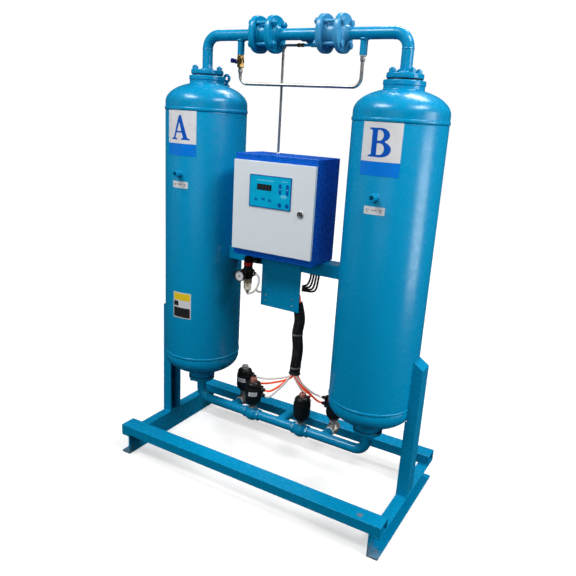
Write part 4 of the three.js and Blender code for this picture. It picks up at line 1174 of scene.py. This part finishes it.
def regulator():
    """The black body with its bracket, side fitting and gauge stem, and the red ring under the knob."""
    place = upright(REG_X, REG_Y)
    top, port = REG_HIGH.z, KNOB_HIGH.z - 56
    made = Shape()
    barrel = [(15.5, BOWL_HIGH.z + 0.5), (16.5, port - 10), (16.5, port + 12), (14.5, port + 20)]
    made.lathe([*barrel, (13, KNOB_LOW.z - 11)], 2.5, place, 40, steps=4)
    made.block((REG_X - 20, REG_Y - 13, port - 12), (REG_X + 20, REG_Y + 13, port + 12), 3.5, 3)
    made.lathe([(8, 0), (8, 4), (6, 5), (6, 12), (4.6, 13)], 0.7, along((REG_X + 19, REG_Y, port), X), 24)
    made.hexagon((REG_X, REG_Y - 11, GAUGE.z), -Y, 14, 8)
    made.tube([(REG_X, REG_Y - 12, GAUGE.z), (REG_X, GAUGE_HIGH.y - 1, GAUGE.z)], 5, 20)
    # the bracket that holds it to the plate
    arm = REG_HIGH
    made.block((REG_X + 8, REG_Y - 2, top - 15), (arm.x, REG_Y + 2, top - 2), 0.8)
    made.block((arm.x - 16, REG_Y - 2, top - 15), (arm.x, arm.y, top), 0.8)
    piece("regulator_casting", made, BLACK, replaces=["regulator_body"])
    screw = Shape().bolt((arm.x - 8, REG_Y - 2, top - 8), -Y, 8, 3.5)
    screw.hexagon((REG_X + 23, REG_Y, port), X, 13, 4)
    piece("regulator_fasteners", screw, STEEL)
    ring = [(15, KNOB_LOW.z - 12), (15.6, KNOB_LOW.z - 10), (15.6, KNOB_LOW.z - 3), (14.6, KNOB_LOW.z - 1)]
    return piece("regulator_lock_ring", Shape().lathe(ring, 0.8, place, 48), RED)


def regulator_knob():
    """The pull-to-turn knob, fluted round its side."""
    low, high = KNOB_LOW.z, KNOB_HIGH.z
    flutes, depth = 20, 0.7
    outline = [polar(13.6 + depth * math.cos(flutes * t), t) for t in turns(6 * flutes)]
    made = Shape().prism(outline, high - low - 3, Matrix.Translation((REG_X, REG_Y, low)))
    made.lathe([(13.2, high - 5), (12.4, high - 1), (8, high)], 1.2, upright(REG_X, REG_Y), 48, steps=4)
    return piece("regulator_knob_fluted", made, BLACK, "regulator_knob", ["regulator_knob"])


def filter_bowl():
    """The hollow clear bowl on its collar, with the element inside and the drain below."""
    place = upright(REG_X, REG_Y)
    rim, base = BOWL_HIGH.z, BOWL_LOW.z + 8
    outside = [(6, base), (10.5, base + 5), (13.2, base + 14), (13.4, rim - 14)]
    inside = [(12, rim - 14), (11.8, base + 15), (9.2, base + 7)]
    shell = rounded([(0, base), *outside, *inside, (0, base + 3)], 1.4, 4)
    piece("bowl_shell", Shape().turned(shell, place, 44), BOWL, replaces=["filter_bowl"])
    collar = [(14, rim - 15), (14.4, rim - 12), (14.4, rim - 2), (13.5, rim)]
    piece("bowl_collar", Shape().lathe(collar, 0.9, place, 44), BEIGE)
    element = [(5.5, base + 16), (5.5, rim - 15)]
    piece("bowl_element", Shape().lathe(element, 1, place, 28), BEADS)
    drain = [(2.4, base - 8), (3, base - 5), (5.6, base - 4), (5.6, base + 1)]
    return piece("bowl_drain", Shape().lathe(drain, 0.7, place, 28), BLACK)


GAUGE_LOW, GAUGE_HIGH = span("gauge_case")
GAUGE = centre("gauge_case")


def dial_bar(degrees, start, end, start_half, end_half):
    """A bar that points away from the gauge's middle, between two distances from it."""
    ray = Vector(polar(1, math.radians(degrees)))
    side = Vector((-ray.y, ray.x))
    middle = Vector((GAUGE.x, GAUGE.z))
    ends = ((start, -start_half), (end, -end_half), (end, end_half), (start, start_half))
    return [tuple(middle + ray * out + side * across) for out, across in ends]


def gauge():
    """A small pressure gauge: black case, pale dial with its scale, and the needle."""
    radius = (GAUGE_HIGH.x - GAUGE_LOW.x) / 2
    depth = GAUGE_HIGH.y - GAUGE_LOW.y
    back = along((GAUGE.x, GAUGE_HIGH.y, GAUGE.z), -Y)
    shell = [(radius - 3, 0), (radius - 1, 3), (radius - 1, depth - 5)]
    bezel = [(radius, depth - 4), (radius, depth - 0.6), (radius - 1, depth), (radius - 2.6, depth - 0.4)]
    case = Shape().lathe([*shell, *bezel, (radius - 3.2, depth - 4)], 0.7, back, 56)
    piece("gauge_case_turned", case, BLACK, replaces=["gauge_case"])
    face = GAUGE_LOW.y + 4
    rim = arc((GAUGE.x, GAUGE.z), (radius - 3.4, radius - 3.4), 0, 354, 59)
    piece("gauge_dial", Shape().decal([rim], facing_front((0, face, 0)), 0.2), WHITE)
    marks = Shape()
    lowest, step = 225, 10
    for i in range(28):
        inner, half = (radius - 7.4, 0.32) if i % 5 == 0 else (radius - 6.0, 0.18)
        bar = dial_bar(lowest - step * i, inner, radius - 4.4, half, half)
        marks.decal([bar], facing_front((0, face - 0.2, 0)), 0.08)
    piece("gauge_marks", marks, INK)
    needle = Shape().decal([dial_bar(lowest, -4.5, 12, 1.0, 0.25)], facing_front((0, face - 0.9, 0)), 0.5)
    needle.lathe([(1.9, 0), (1.9, 1.2)], 0.3, along((GAUGE.x, face - 0.6, GAUGE.z), -Y), 24)
    return piece("gauge_pointer", needle, INK, "gauge_needle", ["gauge_needle"])


def pilot_bank():
    """Four small solenoid valves on a common base behind the plate."""
    low, high = span("pilot_valve_bank")
    front = low.y
    base = Shape().block((low.x, front, low.z), (high.x, high.y - 4, low.z + 28), 1.2)
    piece("pilot_bank_base", base, CAST, replaces=["pilot_valve_bank"])
    coils, plugs, nuts = Shape(), Shape(), Shape()
    for i in range(4):
        x = low.x + 18 + 30 * i
        coils.block((x - 11, front + 3, low.z + 27), (x + 11, high.y, high.z), 2.2, 3)
        plugs.block((x - 8, high.y - 1, low.z + 34), (x + 8, high.y + 9, high.z - 8), 1.6)
        nuts.hexagon((x, (front + high.y) / 2, high.z - 0.4), Z, 10, 4)
        plugs.lathe([(4, 0), (3.4, 8)], 0.6, along((x, high.y + 4, low.z + 34), -Z), 20)
    piece("pilot_bank_coils", coils, BLACK)
    piece("pilot_bank_plugs", plugs, RUBBER)
    return piece("pilot_bank_nuts", nuts, STEEL)


# ---- hoses and cables ------------------------------------------------------------------------
TUBE_RADIUS = 3.7
SHEATH_Y = -13
SHEATH_END = Vector((65, SHEATH_Y, 386))
SHEATH_BENDS = ((58, 640), (71, 585), (66, 531), (71, 480), (67, 420), (65, 386))
SHEATH_TIES = (531, 411)
# where each actuator's low and high tubes leave the sheath, from its middle, and their colours
FAN = {
    "inlet_valve_a": (((-11, -7), (-11, 0)), ("clear", "red")),
    "inlet_valve_b": (((-7, 6), (1, 3)), ("clear", "red")),
    "exhaust_valve_a": (((-3, -10), (-11, 7)), ("red", "clear")),
    "exhaust_valve_b": (((11, 4), (11, -4)), ("red", "clear")),
}


def sheath():
    """The black sleeve round the tubes: uneven where it is packed, tied twice, flared at its end."""
    route = smooth([(x, SHEATH_Y, z) for x, z in SHEATH_BENDS], 14)
    radii = []
    for i, point in enumerate(route):
        waist = max(math.exp(-((point.z - tie) / 14) ** 2) for tie in SHEATH_TIES)
        radii.append(17.2 + 0.4 * math.sin(0.55 * i) + 0.35 * math.sin(1.7 * i + 1) - 1.6 * waist)
    for i in range(4):
        radii[-1 - i] += 3.2 - 0.8 * i
    made = Shape().tube(route, radii, 40)
    for turn in turns(9):
        lane = [p + Vector((*polar(15.2, turn + 0.004 * (p.z - 500)), 0)) for p in route[1:-1]]
        made.tube(lane, 3.4, 12)
    piece("tube_sheath", made, RUBBER, replaces=["tube_harness"])
    ties = Shape()
    for z in SHEATH_TIES:
        x = min(route, key=lambda p: abs(p.z - z)).x
        inner, outer, y = 17.6, 19.2, SHEATH_Y
        band = [(inner, -2.2), (outer, -2.2), (outer, 2.2), (inner, 2.2), (inner, -2.2)]
        ties.turned(band, along((x, y, z), Z), 48)
        ties.block((x - 3.2, y - outer - 3, z - 2.6), (x + 3.2, y - outer + 1, z + 2.6), 0.7)
    # the ties' grey is a painted highlight
    return piece("sheath_ties", ties, TIE_SHEEN_GREY)


def fan_route(name, which):
    x, y = STATION[name]
    side = PORT_SIDE[name]
    offset = FAN[name][0][which]
    start = SHEATH_END + Vector((offset[0], offset[1], 8))
    end = Vector((x, y, FITTING_Z[which])) + side * 50
    drop = start - Z * 16
    approach = end + side * 14
    middle = drop.lerp(approach, 0.6) - Z * 10
    return smooth([start, drop, middle, approach, end], 12)


def sheath_top_tube():
    """The first tube of the bundle, which bows out past the plate before it enters the sleeve."""
    route = [(50, -18, 704), (60, -19, 684), (68, -19, 662), (70, -18, 640), (66, -14, 612)]
    return piece("sheath_top_tube", Shape().tube(smooth(route, 10), TUBE_RADIUS, 16), RED_TUBE)


def actuator_tubes():
    for name, (_, colours) in FAN.items():
        for which, colour in enumerate(colours):
            tube = Shape().tube(fan_route(name, which), TUBE_RADIUS, 16)
            level = ("low", "high")[which]
            piece(f"{name}_tube_{level}", tube, RED_TUBE if colour == "red" else CLEAR_TUBE)


def regulator_hose():
    """From the regulator's side fitting round to the bowl's drain, with a branch to the pilot valves."""
    x, y, top = REG_X, REG_Y, KNOB_HIGH.z
    plate = span("valve_plate")[0].x
    bank_low = span("pilot_valve_bank")[0]
    loop = [(x + 31, y, top - 56), (x + 40, y, top - 61), (x + 44, y, top - 78), (x + 38, y, top - 100),
            (x + 22, y, top - 121), (x + 1, y, BOWL_LOW.z - 1)]
    branch = [(x + 34, y, top - 106), (plate - 9, y + 8, top - 117), (plate - 4, -27, bank_low.z + 14),
              (bank_low.x - 2.5, -18, bank_low.z + 14)]
    made = Shape().tube(smooth(loop, 10), 3.9, 18).tube(smooth(branch, 10), 3.9, 18)
    return piece("regulator_hose_tube", made, CLEAR_TUBE, replaces=["regulator_hose"])


def cables():
    low, high = span("valve_cables")
    made = Shape()
    gland = Shape()
    for i in range(4):
        x = 103 + 9.5 * i
        end = 700 - 5 * i
        route = [(x, -15, high.z - 3), (x - 2, -15, 731), (x - 12, -15, end + 8), (low.x + 1, -15, end)]
        made.tube(smooth(route, 12), 3.3, 16)
        gland.lathe([(4.4, 0), (4.4, 5)], 0.6, along((x, -15, high.z - 6), Z), 20)
    gland.block((low.x + 23, -22, high.z - 3), (high.x, -8, high.z), 0.8)
    piece("valve_cable_runs", made, RUBBER, replaces=["valve_cables"])
    return piece("cable_glands", gland, BLACK)


# ---- everything ------------------------------------------------------------------------------
def build():
    bare_frame()
    frame_welds()
    plate_screws()
    for letter, side in SIDES.items():
        tower_shell(letter)
        tower_port(letter)
        lifting_eye(letter)
        tower_label(letter)
        tower_gaskets(letter)
        post_welds(letter, side)
        top_pipe(letter, side)
        clamped_flanges(letter, side)
        check_body(letter)
        manifold(letter, side)
        dress(f"desiccant_bed_{letter}", BEADS)
        dress(f"check_valve_disc_{letter}", STEEL)
        for screen in ("lower_screen", "upper_screen"):
            dress(f"{screen}_{letter}", CAST)
    tower_sticker()
    outlet_pipe()
    purge_valve()
    purge_handle()
    purge_tube()
    pilot_tube()
    tape_rings()
    inlet_pipe()
    for name in STATION:
        kind, _, letter = name.split("_")
        valve_body(name)
        valve_collar(name)
        actuator(name)
        indicator(name)
        valve_stem(name, f"{kind}_stem_{letter}")
    actuator_label("inlet_valve_a", 30)
    actuator_label("exhaust_valve_a", 8)
    control_box()
    keypad()
    lock()
    controller()
    regulator()
    regulator_knob()
    filter_bowl()
    gauge()
    pilot_bank()
    sheath()
    actuator_tubes()
    regulator_hose()
    sheath_top_tube()
    cables()


# ---- camera, light and floor -----------------------------------------------------------------
def camera():
    """The photograph's view, from in front of tower B and a little above it."""
    yaw, pitch, roll = math.radians(29.35), math.radians(16.297), math.radians(-3.413)
    ahead = Vector((-math.sin(yaw) * math.cos(pitch), math.cos(yaw) * math.cos(pitch), -math.sin(pitch)))
    right = Vector((math.cos(yaw), math.sin(yaw), 0))
    down = ahead.cross(right)
    turned_right = right * math.cos(roll) + down * math.sin(roll)
    turned_down = down * math.cos(roll) - right * math.sin(roll)
    data = bpy.data.cameras.new("camera")
    data.lens = 36.905
    data.sensor_width = 36
    data.shift_x = 0.0029
    data.shift_y = 0.0043
    made = bpy.data.objects.new("camera", data)
    turn = Matrix((turned_right, -turned_down, -ahead)).transposed().to_4x4()
    made.matrix_world = Matrix.Translation((0.9408, -1.6622, 1.2260)) @ turn
    bpy.context.scene.collection.objects.link(made)
    bpy.context.scene.camera = made


def area_light(name, place, target, size, power, mirrored=True):
    """A softbox that faces the target. Unless it is mirrored, gloss doesn't show it."""
    data = bpy.data.lights.new(name, "AREA")
    data.shape = "RECTANGLE"
    data.size, data.size_y = size
    data.energy = power
    made = bpy.data.objects.new(name, data)
    made.location = place
    made.visible_glossy = mirrored
    made.rotation_mode = "QUATERNION"
    made.rotation_quaternion = (Vector(target) - Vector(place)).to_track_quat("-Z", "Y")
    bpy.context.scene.collection.objects.link(made)


def studio():
    world = bpy.data.worlds.new("studio")
    world.use_nodes = True
    background = world.node_tree.nodes["Background"]
    sky = world.node_tree.nodes.new("ShaderNodeTexCoord")
    axes = world.node_tree.nodes.new("ShaderNodeSeparateXYZ")
    height = world.node_tree.nodes.new("ShaderNodeMapRange")
    for socket, value in (("From Min", -0.6), ("From Max", 0.8), ("To Min", 0.30), ("To Max", 0.85)):
        height.inputs[socket].default_value = value
    world.node_tree.links.new(sky.outputs["Generated"], axes.inputs["Vector"])
    world.node_tree.links.new(axes.outputs["Z"], height.inputs["Value"])
    world.node_tree.links.new(height.outputs["Result"], background.inputs["Strength"])
    bpy.context.scene.world = world
    bpy.context.scene.view_settings.view_transform = "Standard"
    middle = (0, 0, 0.9)
    area_light("left_lamp", (-1.0, -1.7, 3.4), middle, (1.4, 0.7), 68)
    area_light("right_lamp", (2.2, -0.5, 3.3), middle, (1.4, 0.7), 64)
    area_light("back_lamp", (0.2, 1.3, 3.4), (0, 0, 0.5), (1.6, 0.5), 56)
    area_light("front_fill", (0.4, -3.4, 1.7), (0, 0, 0.7), (2.2, 1.4), 32, False)
    area_light("right_fill", (3.4, 0.1, 1.3), middle, (1.4, 1.8), 52)
    area_light("left_fill", (-2.8, -1.6, 1.5), middle, (1.2, 1.8), 12, False)


def floor():
    finish = Finish("floor_white", "dial", (0.62, 0.62, 0.62), 0.9, Specular_IOR_Level=0.1)
    finish.tint(finish.noise(2, 2), (0.60, 0.60, 0.60))
    finish.bump(finish.noise(300, 2), 0.0001, 0.2)
    distance = finish.tree.nodes.new("ShaderNodeVectorMath")
    distance.operation = "LENGTH"
    finish.tree.links.new(finish.coords, distance.inputs[0])
    glow = finish.ranged(distance.outputs["Value"], 0.9, 4.0, 0.52, 1.0)
    finish.tree.links.new(glow, finish.shader.inputs["Emission Strength"])
    finish.shader.inputs["Emission Color"].default_value = (1, 1, 1, 1)
    mesh = bpy.data.meshes.new("floor")
    reach = 30
    corners = [(x, y, 0) for x, y in rectangle((-reach, -reach), (reach, reach))]
    mesh.from_pydata(corners, [], [(0, 1, 2, 3)])
    mesh.materials.append(finish.material)
    made = bpy.data.objects.new("floor", mesh)
    bpy.context.scene.collection.objects.link(made)
    made.visible_diffuse = False
    made.visible_glossy = False


def backdrop():
    """A white surround that only the camera sees, so that it doesn't wash out the gloss."""
    finish = Finish("backdrop_white", "dial", (1, 1, 1), 1.0, Specular_IOR_Level=0.0, Emission_Strength=1.0)
    finish.shader.inputs["Emission Color"].default_value = (1, 1, 1, 1)
    shell = bmesh.new()
    bmesh.ops.create_icosphere(shell, subdivisions=4, radius=29)
    mesh = bpy.data.meshes.new("backdrop")
    shell.to_mesh(mesh)
    shell.free()
    mesh.materials.append(finish.material)
    made = bpy.data.objects.new("backdrop", mesh)
    bpy.context.scene.collection.objects.link(made)
    made.visible_diffuse = False
    made.visible_glossy = False
    made.visible_shadow = False
    made.visible_volume_scatter = False


camera()
studio()
floor()
backdrop()
build()
bpy.context.view_layer.update()
